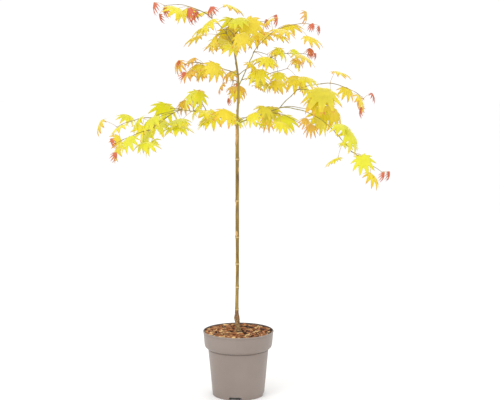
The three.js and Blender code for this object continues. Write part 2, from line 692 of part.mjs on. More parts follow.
// A trapezoid prism across the foot, at azimuth 0
function notchTool() {
  const [foot, top] = [NOTCH.footWidth / 2, NOTCH.topWidth / 2];
  const shape = new THREE.Shape([[-foot, -1], [foot, -1], [top, NOTCH.height], [-top, NOTCH.height]]
    .map(([x, y]) => new THREE.Vector2(x, y)));
  const prism = new THREE.ExtrudeGeometry(shape, { depth: NOTCH.depth, bevelEnabled: false });
  return prism.rotateX(Math.PI / 2).rotateZ(Math.PI / 2).translate(POT.footRadius - NOTCH.depth / 2, 0, 0);
}

function drainTool() {
  const hole = new THREE.CylinderGeometry(DRAIN.radius, DRAIN.radius, DRAIN.depth, DRAIN.facets);
  return hole.rotateX(Math.PI / 2).translate(DRAIN.ringRadius, 0, POT.floorHeight + POT.wall / 2);
}

// The filling of the pot, a little clear of its wall and floor
function soilSolid() {
  const { wall, padRadius, padSlope } = POT;
  const inside = wall + SOIL.slack;
  const floorTop = POT.floorHeight + inside;
  return lathe([
    [0, wall + GAP], [padRadius + wall - SOIL.slack, wall + GAP],
    [padRadius + padSlope + wall - SOIL.slack, floorTop], [wallRadius(floorTop) - inside, floorTop],
    [POT.neckRadius - inside, POT.neckHeight + POT.shoulderRise],
    [POT.collarRadius - inside, POT.collarHeight + POT.shoulderRise],
    [mulchRadius(SOIL.height), SOIL.height], [0, SOIL.height],
  ], POT.facets);
}

// The radius just inside the pot's collar
function mulchRadius(height) {
  const lipBottom = POT.height - POT.lipDepth;
  const t = (height - POT.collarHeight) / (lipBottom - POT.collarHeight);
  return mix(POT.collarRadius - POT.wall, POT.rimRadius - POT.wall - POT.lip / 2, t) - SOIL.slack;
}

function mulchHeight(radius) {
  const t = Math.max(radius - SOIL.crownRadius, 0) / (mulchRadius(SOIL.edgeHeight) - SOIL.crownRadius);
  return mix(SOIL.crownHeight, SOIL.edgeHeight, t);
}

// The layer of bark mulch, with chips that lie half sunk in it
function mulchSolid() {
  const low = SOIL.height + GAP;
  const bed = lathe([
    [0, low], [mulchRadius(low), low], [mulchRadius(SOIL.edgeHeight), SOIL.edgeHeight],
    [SOIL.crownRadius, SOIL.crownHeight], [0, SOIL.crownHeight],
  ], POT.facets);
  const draw = seeded(CHIPS.seed);
  const chips = Array.from({ length: CHIPS.count }, (_, i) => {
    const reach = Math.sqrt((i + 0.5) / CHIPS.count);
    const radius = mix(CHIPS.innerRadius, CHIPS.outerRadius, reach);
    const [length, width] = [CHIPS.length, CHIPS.width].map((size) => size * mix(CHIPS.smallest, 1, draw()));
    const chip = new THREE.BoxGeometry(length, width, CHIPS.thickness);
    chip.rotateX(CHIPS.pitch * (draw() - 0.5) * DEGREE).rotateY(CHIPS.roll * (draw() - 0.5) * DEGREE);
    const at = heading(i * CHIPS.goldenAngle, 0).multiplyScalar(radius);
    return solid(chip.rotateZ(Math.PI * draw()).translate(at.x, at.y, mulchHeight(radius) + CHIPS.raised));
  });
  return join([bed, ...chips]);
}

// Where a limb leaves what carries it
function footOf({ from, at = 1 }, paths) {
  return from === 'trunk' ? onTrunk(at) : along(paths[from], at);
}

// The paths of all limbs and stems, and then the leaves of each mass, clear of every one of them
function growPlant() {
  const plant = { leaves: [], places: [] };
  for (let i = 0; TRUNK[0][0] + TRUNK_STEP * i < TIP; i += 1) {
    plant.places.push(onTrunk(TRUNK[0][0] + TRUNK_STEP * i));
  }
  const paths = {};
  for (const [name, bough] of Object.entries(BOUGHS)) {
    const steps = Math.max(Math.round(bough.length / BOUGH_STEP), FEWEST_STEPS);
    paths[name] = walk(footOf(bough, paths), bough, steps);
    plant.places.push(...spread(paths[name], GROWTH.stemPlaces));
  }
  const stems = {};
  for (const [name, mass] of Object.entries(MASSES)) {
    stems[name] = walk(footOf(mass, paths), mass, Math.max(2 * mass.pairs, FEWEST_STEPS));
    plant.places.push(...spread(stems[name], GROWTH.stemPlaces));
  }
  const masses = {};
  for (const [name, mass] of Object.entries(MASSES)) {
    masses[name] = growMass(stems[name], mass, plant);
    plant.leaves.push(...masses[name].leaves);
    plant.places.push(...masses[name].places);
  }
  return { paths, masses };
}

function clearOf(body, limbs) {
  return mainPiece(limbs.reduce((rest, limb) => rest.subtract(limb), body));
}

function leafFinish({ youth: [foot, tip] }) {
  const young = (foot + tip) / 2;
  if (young > TINTS.red) return FINISHES.red;
  return young > TINTS.gold ? FINISHES.gold : FINISHES.yellow;
}

const { paths, masses } = growPlant();
const plant = new THREE.Group();
plant.add(
  mesh('pot', potSolid(), FINISHES.pot),
  mesh('potting_mix', soilSolid(), FINISHES.mix),
  mesh('bark_mulch', mulchSolid(), FINISHES.mulch),
  mesh('trunk', trunkSolid(), FINISHES.bark),
);
const limbs = [trunkSolid(GAP)];
for (const [name, path] of Object.entries(paths)) {
  const { radii } = BOUGHS[name];
  plant.add(mesh(name, clearOf(taperedLimb(path, radii, BOUGH_FACETS), limbs), FINISHES.youngBark));
  limbs.push(taperedLimb(path, radii, BOUGH_FACETS, GAP));
}
for (const [name, grown] of Object.entries(masses)) {
  plant.add(mesh(name, clearOf(massSolid(grown), limbs), leafFinish(MASSES[name])));
  limbs.push(taperedLimb(grown.stem, [STEM.foot, STEM.tip], TWIG_FACETS, GAP));
}

export default plant;
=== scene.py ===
"""A young potted japanese maple: bark, shoots, lobed autumn leaves, mulch and pot as they look.

The plant is grown by a seeded rule in millimetres and degrees, and its meshes are made in metres.
The viewer looks along +Y, so an azimuth of 0 is to the right and 270 is towards the viewer.
"""
from math import asin, atan2, cos, degrees, floor, hypot, pi, radians, sin, sqrt
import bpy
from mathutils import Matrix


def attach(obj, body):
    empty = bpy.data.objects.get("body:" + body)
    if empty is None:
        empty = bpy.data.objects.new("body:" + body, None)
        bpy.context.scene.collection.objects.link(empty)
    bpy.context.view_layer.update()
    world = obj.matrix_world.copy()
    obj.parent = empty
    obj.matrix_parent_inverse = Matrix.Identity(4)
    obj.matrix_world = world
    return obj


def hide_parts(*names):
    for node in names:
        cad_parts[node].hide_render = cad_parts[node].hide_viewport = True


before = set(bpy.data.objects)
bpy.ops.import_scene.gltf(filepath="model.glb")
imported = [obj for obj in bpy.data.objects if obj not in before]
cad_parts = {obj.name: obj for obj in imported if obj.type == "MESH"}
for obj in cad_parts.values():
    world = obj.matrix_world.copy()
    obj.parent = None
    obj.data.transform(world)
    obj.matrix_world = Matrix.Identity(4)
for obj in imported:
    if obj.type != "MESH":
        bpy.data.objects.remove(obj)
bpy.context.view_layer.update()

from types import SimpleNamespace as Values

import bpy
import numpy as np

MM = 0.001
GAP = 0.3
UP = np.array([0.0, 0.0, 1.0])

CAMERA = Values(place=(0.0313, -3.0, 0.87), down=6.514, lens=81.86, sensor=36.0)

# Heights on the trunk where shoots leave it
FORK = 729
MIDDLE_NODE = 826
UPPER_NODE = 856
TOP_NODE = 935
TIP = 960

POT = Values(height=175, foot=69.5, neck=81.2, neck_height=124.5, collar=89.5, collar_height=131, rim=95,
             wall=2.2, lip=3, lip_depth=4, groove=0.8, bevel=1, pad=28, floor=9, pad_slope=3, facets=160)
NOTCH = Values(count=4, azimuth=263.4, height=8.5, top=30, foot=36, depth=14)
DRAIN = Values(count=4, azimuth=45, ring=50, radius=4.5, facets=24)
SOIL = Values(height=160, edge=168, crown=171, crown_radius=14, slack=0.5)

# The trunk's stations: height, offset to the right, radius
TRUNK = np.array([
    (SOIL.crown + GAP, -1.2, 8.6), (180, -1.6, 6.6), (198, -2.6, 5.9), (208, -3.4, 6.2),
    (219, -4.1, 5.2), (240, -3.9, 4.5), (260, -3.6, 4.4), (340, -2.4, 4.5), (470, -2.5, 4.7),
    (570, -2.4, 4.6), (662, -2.5, 4.5), (715, -2.3, 4.4), (FORK, -2.2, 4.0), (745, -1.9, 3.2),
    (764, -1.3, 3.0), (799, 0.5, 2.9), (MIDDLE_NODE, 1.4, 2.9), (UPPER_NODE, -0.2, 2.7),
    (887, -4.3, 2.5), (913, -8.5, 2.4), (TOP_NODE, -12.1, 2.3), (TIP, -10.5, 1.9),
])
ROOTS = Values(count=5, height=24, spread=0.3, turn=0.6)
TRUNK_STEP = 5
BOUGH_STEP = 14


def table(columns, rows):
    """Rows of values named by columns, each under its first entry."""
    return {row[0]: Values(**dict(zip(columns, row[1:]))) for row in rows}


# Boughs: what each leaves, and where, as a height on the trunk or a share of a bough's length; its heading
# at the foot, how far it turns down, its length, and its radii at foot and tip
BOUGHS = table(("stem", "at", "azimuth", "rise", "droop", "length", "radii"), [
    ("left_bough", "trunk", FORK, 184, 24, 12, 83, (2.2, 1.8)),
    ("left_outer_bough", "left_bough", 1, 186, 15, 12, 69, (1.7, 1.5)),
    ("left_upper_bough", "left_outer_bough", 1, 146, -6, 14, 104, (1.4, 1.1)),
    ("left_lower_bough", "left_outer_bough", 1, 217, -15, 25, 109, (1.4, 1.1)),
    ("right_bough", "trunk", FORK, 353, 22, 4, 84, (2.3, 1.9)),
    ("right_outer_bough", "right_bough", 1, 352, 22, 0, 37, (1.9, 1.7)),
    ("right_upper_bough", "right_outer_bough", 1, 29, 44, 8, 71, (1.5, 1.3)),
    ("right_upper_outer_bough", "right_upper_bough", 1, 27, 21, 20, 74, (1.3, 1.1)),
    ("right_drooping_bough", "right_outer_bough", 1, 331, 3, 42, 157, (1.5, 1.3)),
    ("right_drooping_outer_bough", "right_drooping_bough", 1, 334, -42, 8, 84, (1.2, 1.0)),
    ("upper_right_bough", "trunk", MIDDLE_NODE, 306, 53, 0, 113, (1.9, 1.5)),
    ("upper_right_outer_bough", "upper_right_bough", 1, 329, 50, 15, 61, (1.3, 1.1)),
    ("middle_right_bough", "upper_right_bough", 0.2, 12, 14, 18, 54, (1.3, 1.1)),
    ("back_bough", "trunk", MIDDLE_NODE, 98, 25, 30, 93, (1.7, 1.3)),
    ("middle_left_bough", "trunk", UPPER_NODE, 203, 29, 15, 55, (1.6, 1.4)),
    ("middle_left_outer_bough", "middle_left_bough", 1, 211, 16, 10, 59, (1.3, 1.1)),
    ("back_right_bough", "trunk", UPPER_NODE, 32, 34, 18, 113, (1.5, 1.2)),
    ("top_left_bough", "trunk", TOP_NODE, 147, 55, 0, 38, (1.7, 1.6)),
    ("top_left_outer_bough", "top_left_bough", 1, 151, 46, 10, 62, (1.4, 1.2)),
])

# Masses of foliage: the stem as for a bough, then its pairs of leaves, the radius of a full leaf, how young
# the leaves are from the stem's foot to its tip, the chance of a side twig, and the seeds of the leaves and
# of the finer leaves between them
MASSES = table((
    "stem", "at", "azimuth", "rise", "droop", "length", "pairs", "leaf", "youth", "twigs", "seed", "fill",
), [
    ("right_front_leaves", "right_outer_bough", 1, 335, 8, 20, 80, 1, 70, (0, 0.2), 0, 892, 28),
    ("left_lower_inner_leaves", "left_outer_bough", 1, 222, -15, 20, 85, 2, 62, (0, 0.2), 0.2, 445, 46),
    ("left_lower_leaves", "left_lower_bough", 1, 211, -11, 15, 104, 3, 54, (0.1, 0.9), 0, 819, 7),
    ("left_upper_inner_leaves", "left_outer_bough", 1, 165, 18, 25, 30, 1, 64, (0, 0), 0, 183, 120),
    ("left_upper_leaves", "left_upper_bough", 1, 151, -2, 24, 118, 3, 52, (0.1, 0.5), 0, 361, 111),
    ("right_drooping_inner_leaves", "right_drooping_bough", 1,
     300, -20, 25, 40, 1, 62, (0.1, 0.2), 0.3, 464, 629),
    ("right_drooping_leaves", "right_drooping_outer_bough", 1,
     335, -34, -5, 98, 3, 56, (0.1, 1), 0, 618, 13),
    ("right_upper_inner_leaves", "right_upper_bough", 1, 328, 5, 30, 65, 1, 74, (0, 0.1), 0, 832, 19),
    ("right_upper_leaves", "right_upper_outer_bough", 1, 28, 4, 42, 146, 3, 52, (0.1, 0.75), 0, 819, 29),
    ("top_middle_leaves", "top_left_bough", 1, 95, 50, 10, 20, 1, 68, (0, 0.1), 0, 204, 53),
    ("top_front_leaves", "trunk", TOP_NODE, 252, 40, 30, 45, 1, 58, (0.1, 0.45), 0, 235, 86),
    ("top_right_leaves", "trunk", TIP, 35, 45, 50, 112, 3, 64, (0, 1), 0, 506, 115),
    ("top_back_leaves", "trunk", TIP, 120, 40, 40, 55, 1, 66, (0, 0.15), 0, 841, 430),
    ("top_left_inner_leaves", "top_left_outer_bough", 1, 75, 35, 20, 25, 1, 56, (0, 0.1), 0, 114, 81),
    ("top_left_leaves", "top_left_outer_bough", 1, 157, 36, 44, 148, 4, 64, (0.1, 1), 0, 647, 47),
    ("top_left_raised_leaves", "top_left_outer_bough", 1, 195, 42, 40, 60, 1, 68, (0.75, 0.85), 0, 448, 60),
    ("top_left_hanging_leaves", "top_left_bough", 1, 215, 0, 20, 30, 1, 60, (0, 0), 0, 464, 121),
    ("upper_right_inner_leaves", "upper_right_bough", 1, 330, 0, 20, 40, 1, 48, (0.1, 0.1), 0, 739, 389),
    ("upper_right_leaves", "upper_right_outer_bough", 1, 339, 35, 45, 121, 3, 56, (0.1, 1), 0, 343, 23),
    ("middle_right_inner_leaves", "middle_right_bough", 1, 282, 0, 20, 20, 1, 48, (0.1, 0.2), 0, 611, 719),
    ("middle_right_leaves", "middle_right_bough", 1, 24, 24, 12, 80, 2, 70, (0, 0.4), 0, 636, 45),
    ("middle_left_inner_leaves", "middle_left_bough", 1, 225, 5, 20, 35, 1, 52, (0.3, 0.4), 0, 454, 133),
    ("middle_left_leaves", "middle_left_outer_bough", 1, 233, 8, 25, 65, 3, 54, (0.45, 1), 0, 599, 95),
    ("back_right_inner_leaves", "back_right_bough", 1, 310, -10, 20, 25, 1, 48, (0.1, 0.2), 0, 434, 121),
    ("back_right_leaves", "back_right_bough", 1, 30, 17, 30, 130, 3, 46, (0.3, 1), 0, 453, 123),
    ("right_top_leaves", "right_bough", 1, 40, 30, 30, 30, 1, 60, (0.1, 0.3), 0, 789, 128),
    ("right_hanging_leaves", "right_bough", 1, 332, 0, 30, 105, 2, 48, (0.1, 0.7), 0, 694, 137),
    ("left_raised_leaves", "left_bough", 1, 123, 51, 40, 85, 2, 58, (0.1, 0.65), 0, 583, 784),
    ("left_hanging_leaves", "left_bough", 1, 224, 25, 25, 50, 2, 58, (0.1, 0.25), 0, 784, 18),
    ("left_inner_leaves", "trunk", FORK, 226, 36, 30, 60, 1, 58, (0.1, 0.2), 0, 171, 32),
    ("right_inner_leaves", "trunk", FORK, 312, 36, 30, 70, 1, 46, (0.1, 0.2), 0, 458, 125),
    ("back_leaves", "back_bough", 1, 95, 3, 40, 110, 3, 46, (0.4, 1), 0, 485, 132),
    ("back_lower_leaves", "trunk", FORK, 75, 20, 40, 160, 3, 60, (0, 0.7), 0.2, 507, 7),
])

STEM = Values(steps=4, foot=1.15, tip=0.6, twig_foot=0.85, twig_tip=0.55, stalk_foot=0.6, stalk_tip=0.42)
SWAY = Values(side=5, side_rate=2.4, lift=4, lift_rate=1.7)
GROWTH = Values(stem_places=41, tries=6, draws=5, limb_clearance=2.5, leaf_clearance=3, stalk_clearance=2,
                reach=8, stalk_places=13, stalk_foot=4, first_pair=0.5, pair_turn=90, pair_swing=60,
                youth_power=2.2)
FINER = Values(leaf=0.84, largest=60, clearance=1.8, between=(0.03, 0.27), limb_places=(0.35, 0.6, 0.85),
               swing=120)
TWIG = Values(steps=3, places=9, limit=0.9, share=0.3, length=28, out=0.75, onward=0.65, rise=5, droop=20,
              youth=0.12, tilt=40)
STALK = Values(out=0.75, onward=0.45, lift=0.3, sag=0.3, shortest=0.3, range=0.55, extra=10, swing=110)
HANG = Values(pitch=-4, pitch_range=46, youth_pitch=24, lean=64, fold=0.12, youth_fold=0.68, bend=0.6,
              pitch_bend=0.3, steepest=1.42)
SIZE = Values(least=0.84, range=0.26, youth_shrink=0.48, shrink_power=1.6)
# Half of a leaf's lobes, from the middle one outwards: angle and length as a share of the leaf's radius
LOBES = ((0, 1), (30, 0.97), (60, 0.86), (92, 0.66), (128, 0.42))
ALL_LOBES = [(0, 1)] + [(side * angle, length) for angle, length in LOBES[1:] for side in (1, -1)]
PLACES = Values(lobe=(0.4, 0.7, 1), web_angle=15, web=0.55)
# The places of a blade that others are kept clear of: some on each lobe, and one between two lobes
PLACE_ANGLES = [a for a, _ in ALL_LOBES for _ in PLACES.lobe]
PLACE_ANGLES += [a + PLACES.web_angle for a, _ in ALL_LOBES]
PLACE_PARTS = [p * n for _, n in ALL_LOBES for p in PLACES.lobe] + [PLACES.web * n for _, n in ALL_LOBES]
TINY = 1e-9


# The growing rule

def seeded(seed):
    """Draws numbers from 0 to 1 by a linear congruential rule."""
    state = (seed * 747796405 + 2891336453) % 2 ** 32

    def draw():
        nonlocal state
        state = (state * 1664525 + 1013904223) % 2 ** 32
        return state / 2 ** 32

    draw()
    return draw


def mix(a, b, t):
    return a + (b - a) * t


def unit(v):
    return v / np.linalg.norm(v)


def heading(azimuth, pitch):
    a, p = radians(azimuth), radians(pitch)
    return np.array([cos(p) * cos(a), cos(p) * sin(a), sin(p)])


def azimuth_of(v):
    return degrees(atan2(v[1], v[0]))


def walk(start, shoot, steps):
    """The points of a shoot that leaves start, turns down by its droop, and sways."""
    points = [start]
    for i in range(steps):
        side = shoot.azimuth + SWAY.side * sin(SWAY.side_rate * i)
        pitch = shoot.rise - shoot.droop * (i + 0.5) / steps
        pitch += SWAY.lift * cos(SWAY.lift_rate * i)
        points.append(points[-1] + heading(side, pitch) * (shoot.length / steps))
    return np.array(points)


def along(points, t):
    place = min(max(t, 0), 1) * (len(points) - 1)
    i = min(int(place), len(points) - 2)
    return mix(points[i], points[i + 1], place - i)


def course_at(points, t):
    place = min(max(t, 0), 1) * (len(points) - 1)
    i = min(max(floor(place - TINY), 0), len(points) - 2)
    return unit(points[i + 1] - points[i])


def spread(points, count):
    return np.array([along(points, i / (count - 1)) for i in range(count)])


def on_trunk(height):
    return np.array([np.interp(height, TRUNK[:, 0], TRUNK[:, 1]), 0.0, height])


def outward(course, roll):
    """The unit vector that stands out from a shoot, turned round it by roll."""
    flat = unit(np.cross(UP, course))
    return flat * cos(radians(roll)) + np.cross(course, flat) * sin(radians(roll))


def blend(a, weight_a, b, weight_b, lift=0.0):
    return unit(a * weight_a + b * weight_b + UP * lift)


class Leaf:
    """A blade that arches down from its centre, on a stalk that bends once."""

    def __init__(self, node, out, course, full_size, youth, numbers):
        """A try from five draws: the stalk's swing and length, the blade's pitch, lean and size."""
        swing, reach, pitch, roll, growth = numbers
        self.youth = youth
        self.size = full_size * (SIZE.least + SIZE.range * growth)
        start = blend(out, STALK.out, course, STALK.onward, STALK.lift)
        length = self.size * (STALK.shortest + STALK.range * reach) + STALK.extra
        middle = node + start * (length / 2)
        sagged = unit(start - UP * STALK.sag)
        self.centre = middle + sagged * (length / 2)
        azimuth = azimuth_of(sagged) + STALK.swing * (swing - 0.5)
        self.main = heading(azimuth, -(HANG.pitch + HANG.pitch_range * pitch + HANG.youth_pitch * youth))
        flat = heading(azimuth + 90, 0)
        above = np.cross(self.main, flat)
        lean = radians(HANG.lean * (roll - 0.5))
        self.side = flat * cos(lean) + above * sin(lean)
        self.up = above * cos(lean) - flat * sin(lean)
        self.fold = HANG.fold + HANG.youth_fold * youth ** 2
        self.bend = min(HANG.bend + HANG.pitch_bend * pitch, HANG.steepest - self.fold)
        self.curl = self.bend / self.size
        self.places = np.vstack([self.at(np.radians(PLACE_ANGLES), np.array(PLACE_PARTS))[0], self.centre])
        self.stalk = np.array([node, middle, self.centre])
        self.stalk_places = spread(self.stalk, GROWTH.stalk_places)[GROWTH.stalk_foot:]

    def at(self, angle, part, arch=1.0):
        """Points of the blade and its upper face's normals there, with this share of its bend."""
        curl = self.curl * arch
        turn = self.fold + curl * part * self.size
        out = (np.sin(turn) - sin(self.fold)) / curl
        drop = (cos(self.fold) - np.cos(turn)) / curl
        away = np.outer(np.cos(angle), self.main) + np.outer(np.sin(angle), self.side)
        points = self.centre + away * out[:, None] - np.outer(drop, self.up)
        return points, away * np.sin(turn)[:, None] + np.outer(np.cos(turn), self.up)

    def touches(self, points, clearance):
        away = points - self.centre
        sine = sin(self.fold) + self.curl * np.hypot(away @ self.main, away @ self.side)
        cosine = np.sqrt(np.maximum(1 - sine * sine, TINY))
        drop = (cos(self.fold) - cosine) / self.curl
        near = np.abs(away @ self.up + drop) * cosine < clearance
        return bool(np.any(near & (sine < sin(self.fold + self.bend))))

    def stalk_meets(self, other, clearance):
        apart = self.stalk_places[:, None] - other.stalk_places[None]
        return bool(np.any(np.linalg.norm(apart, axis=2) < clearance))


def is_free(leaf, plant, limb_places):
    if leaf.touches(limb_places, GROWTH.limb_clearance):
        return False
    for other in plant.leaves:
        if np.linalg.norm(other.centre - leaf.centre) > other.size + leaf.size + GROWTH.reach:
            continue
        for one, two in ((leaf, other), (other, leaf)):
            if (one.touches(two.places, plant.clearance)
                    or one.touches(two.stalk[1:2], GROWTH.stalk_clearance)):
                return False
        if leaf.stalk_meets(other, GROWTH.stalk_clearance):
            return False
    return True


class Plant:
    """The leaves grown so far, and the places on limbs that later leaves keep clear of."""

    def __init__(self):
        self.leaves = []
        self.places = []
        self.clearance = GROWTH.leaf_clearance

    def limb_places(self):
        return np.vstack(self.places)

    def carry(self, limb, paths, steps):
        """The path of a limb or stem, from the trunk or from the bough that carries it."""
        foot = on_trunk(limb.at) if limb.stem == "trunk" else along(paths[limb.stem], limb.at)
        path = walk(foot, limb, max(steps, STEM.steps))
        self.places.append(spread(path, GROWTH.stem_places))
        return path


def add_leaf(grown, spot, full_size, youth, blocked=False):
    """Adds the first try at a leaf that is free of limbs and other leaves, or none."""
    size = full_size * (1 - SIZE.youth_shrink * youth ** SIZE.shrink_power)
    tries = [[grown.draw() for _ in range(GROWTH.draws)] for _ in range(GROWTH.tries)]
    if blocked:
        return
    limb_places = grown.plant.limb_places()
    for numbers in tries:
        leaf = Leaf(*spot, size, youth, numbers)
        if is_free(leaf, grown.plant, limb_places):
            grown.plant.leaves.append(leaf)
            grown.leaves.append(leaf)
            return


def grow_twig(grown, spot, mass, t, youth):
    """Adds a side twig with a pair of leaves at its tip, unless it meets a leaf."""
    node, out, course = spot
    way = blend(out, TWIG.out, course, TWIG.onward)
    shoot = Values(azimuth=azimuth_of(way), rise=degrees(asin(way[2])) + TWIG.rise,
                   droop=TWIG.droop, length=(1 - t) * TWIG.share * mass.length + TWIG.length)
    twig = walk(node, shoot, TWIG.steps)
    places = spread(twig, TWIG.places)
    blocked = any(leaf.touches(places[1:], GROWTH.stalk_clearance) for leaf in grown.plant.leaves)
    if not blocked:
        grown.twigs.append(twig)
        grown.plant.places.append(places)
    tilt = TWIG.tilt * (grown.draw() - 0.5)
    tip, end = course_at(twig, 1), twig[-1]
    young = min(youth + TWIG.youth, 1)
    for side in (0, 1):
        add_leaf(grown, (end, outward(tip, tilt + 180 * side), tip), mass.leaf, young, blocked)


def grow_mass(stem, mass, plant):
    """Pairs of leaves along a stem, some of them on a side twig that carries a pair of its own."""
    draw = seeded(mass.seed)
    grown = Values(stem=stem, plant=plant, draw=draw, twigs=[], leaves=[], nodes=[])
    first_roll = 360 * draw()
    for k in range(mass.pairs):
        t = (k + GROWTH.first_pair) / (mass.pairs - 1 + GROWTH.first_pair)
        node, course = along(stem, t), course_at(stem, t)
        grown.nodes.append((t, node, course))
        youth = mix(*mass.youth, t ** GROWTH.youth_power)
        for side in (0, 1):
            roll = first_roll + GROWTH.pair_turn * (k % 2) + 180 * side
            roll += GROWTH.pair_swing * (draw() - 0.5)
            spot = node, outward(course, roll), course
            if draw() < mass.twigs and t < TWIG.limit:
                grow_twig(grown, spot, mass, t, youth)
            else:
                add_leaf(grown, spot, mass.leaf, youth)
    return grown


def fill_mass(grown, mass, paths):
    """Smaller leaves between the pairs of a mass, and along the limb that carries it."""
    grown.draw = draw = seeded(mass.fill)
    gap = mass.pairs - 1 + GROWTH.first_pair
    places = [(grown.stem, (k + part) / gap) for k in range(mass.pairs) for part in FINER.between]
    if mass.stem != "trunk":
        places += [(paths[mass.stem], t) for t in FINER.limb_places]
    for limb, t in places:
        node, course = along(limb, t), course_at(limb, t)
        youth = mass.youth[0]
        if limb is grown.stem:
            youth = mix(*mass.youth, t ** GROWTH.youth_power)
        first_roll = 360 * draw()
        for side in (0, 1):
            out = outward(course, first_roll + 180 * side + FINER.swing * (draw() - 0.5))
            size = FINER.leaf * min(mass.leaf, FINER.largest)
            add_leaf(grown, (node, out, course), size, youth)


def grow_plant():
    """The paths of all limbs and stems, and then the leaves of each mass, clear of every one of them."""
    plant = Plant()
    heights = np.arange(TRUNK[0, 0], TIP, TRUNK_STEP)
    plant.places.append(np.array([on_trunk(height) for height in heights]))
    paths, stems = {}, {}
    for name, bough in BOUGHS.items():
        paths[name] = plant.carry(bough, paths, floor(bough.length / BOUGH_STEP + 0.5))
    for name, mass in MASSES.items():
        stems[name] = plant.carry(mass, paths, 2 * mass.pairs)
    masses = {name: grow_mass(stems[name], mass, plant) for name, mass in MASSES.items()}
    plant.clearance = FINER.clearance
    for name, mass in MASSES.items():
        fill_mass(masses[name], mass, paths)
    return paths, masses


# Meshes

def placed(name, data):
    """A new object in the scene."""
    made = bpy.data.objects.new(name, data)
    bpy.context.scene.collection.objects.link(made)
    return made


class Batch:
    """Vertices in millimetres and faces, gathered into one mesh."""

    def __init__(self):
        self.vertices, self.faces, self.kinds, self.count = [], [], [], 0

    def add(self, vertices, faces, kind=0):
        """Adds vertices, and faces that count from them; kind is one material or a list of them."""
        self.faces += [tuple(i + self.count for i in face) for face in faces]
        self.kinds += kind if isinstance(kind, list) else [kind] * len(faces)
        self.vertices.append(np.asarray(vertices, float))
        self.count += len(vertices)

    def made(self, name):
        """The batch as an object in the scene."""
        mesh = bpy.data.meshes.new(name)
        mesh.from_pydata((np.vstack(self.vertices) * MM).tolist(), [], self.faces)
        return placed(name, mesh)

    def piece(self, name, finishes, slot, nodes, smooth=True):
        """The batch as a piece that takes the place of the nodes."""
        piece = self.made(name)
        piece.data.polygons.foreach_set("material_index", self.kinds)
        piece.data.polygons.foreach_set("use_smooth", [smooth] * len(self.faces))
        for finish in finishes:
            piece.data.materials.append(finish)
        piece.data.update()
        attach(piece, "root")
        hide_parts(*nodes)
        return piece


def turns(facets):
    return np.arange(facets) * (2 * pi / facets)


def ring_faces(rings, facets):
    """The faces between rings of points that follow one another."""
    return [(r * facets + i, r * facets + (i + 1) % facets, (r + 1) * facets + (i + 1) % facets,
             (r + 1) * facets + i) for r in range(rings - 1) for i in range(facets)]


def add_rings(batch, rings, ends):
    """A closed skin over rings of points, each end drawn together in one point."""
    count, facets = rings.shape[:2]
    foot, last = count * facets, (count - 1) * facets
    faces = ring_faces(count, facets)
    faces += [(foot, (i + 1) % facets, i) for i in range(facets)]
    faces += [(foot + 1, last + i, last + (i + 1) % facets) for i in range(facets)]
    batch.add(np.vstack([rings.reshape(-1, 3), ends]), faces)


def arc(start, pull, end, t):
    """The curve from start to end that leans towards pull."""
    return start * (1 - t) ** 2 + 2 * pull * t * (1 - t) + end * t ** 2


def bump(values, centre, width):
    return np.exp(-((values - centre) / width) ** 2)


def smooth_path(points):
    """Points about a step apart on a smooth curve through the given ones."""
    padded = np.vstack([2 * points[0] - points[1], points, 2 * points[-1] - points[-2]])
    curve = []
    for a, b, c, d in zip(padded, padded[1:], padded[2:], padded[3:]):
        count = max(int(round(np.linalg.norm(c - b) / LIMB.step)), 1)
        t = (np.arange(count) / count)[:, None]
        curve.append(0.5 * (2 * b + (c - a) * t + (2 * a - 5 * b + 4 * c - d) * t ** 2
                            + (3 * b - a - 3 * c + d) * t ** 3))
    return np.vstack(curve + [points[-1:]])


def frames_along(points):
    """Square axes at each point of a path, carried along it without twisting."""
    courses = np.gradient(points, axis=0)
    courses /= np.linalg.norm(courses, axis=1)[:, None]
    side = np.cross(UP, courses[0]) if abs(courses[0][2]) < LIMB.steep else np.array([1.0, 0.0, 0.0])
    sides = []
    for course in courses:
        side = unit(side - course * (side @ course))
        sides.append(side)
    sides = np.array(sides)
    return sides, np.cross(courses, sides)


def tube(batch, points, radii, facets, frames=None):
    """A closed round limb: radii holds one number for each point, or one for each facet of each ring."""
    sides, tops = frames or frames_along(points)
    angles = turns(facets)
    radii = np.broadcast_to(np.asarray(radii, float).reshape(len(points), -1), (len(points), facets))
    rings = (points[:, None] + sides[:, None] * (np.cos(angles) * radii)[..., None]
             + tops[:, None] * (np.sin(angles) * radii)[..., None])
    add_rings(batch, rings, [points[0], points[-1]])


# The blade of a leaf

BLADE = Values(web_rows=4, rows=14, sinus_rise=0.02, notch=0.08, start=0.12, thickness=0.36, pleat=0.13,
               pleat_rise=4, belly=0.95, tip=1.05, tooth=0.016, tooth_out=0.5, wave=0.01, wave_rate=9,
               wave_turn=2, droop=0.02, bands=(0.42, 0.72), rim_band=1, grown=1.07, bend=0.9, young=0.6)
# How far out the sinuses lie, on a full leaf and on a young one
SINUS = dict(open=0.5, young=0.4)
COLUMNS = (-1, -0.5, 0, 0.5, 1)


def lobe_ends(angle, rays):
    """For each side of a lobe, how far along the lobe and across it the ray to the sinus ends."""
    ends = []
    for side, (ray_angle, reach) in zip((-1, 1), rays):
        delta = radians((ray_angle - angle + 180) % 360 - 180)
        ends.append((side, reach * cos(delta), reach * abs(sin(delta))))
    return ends


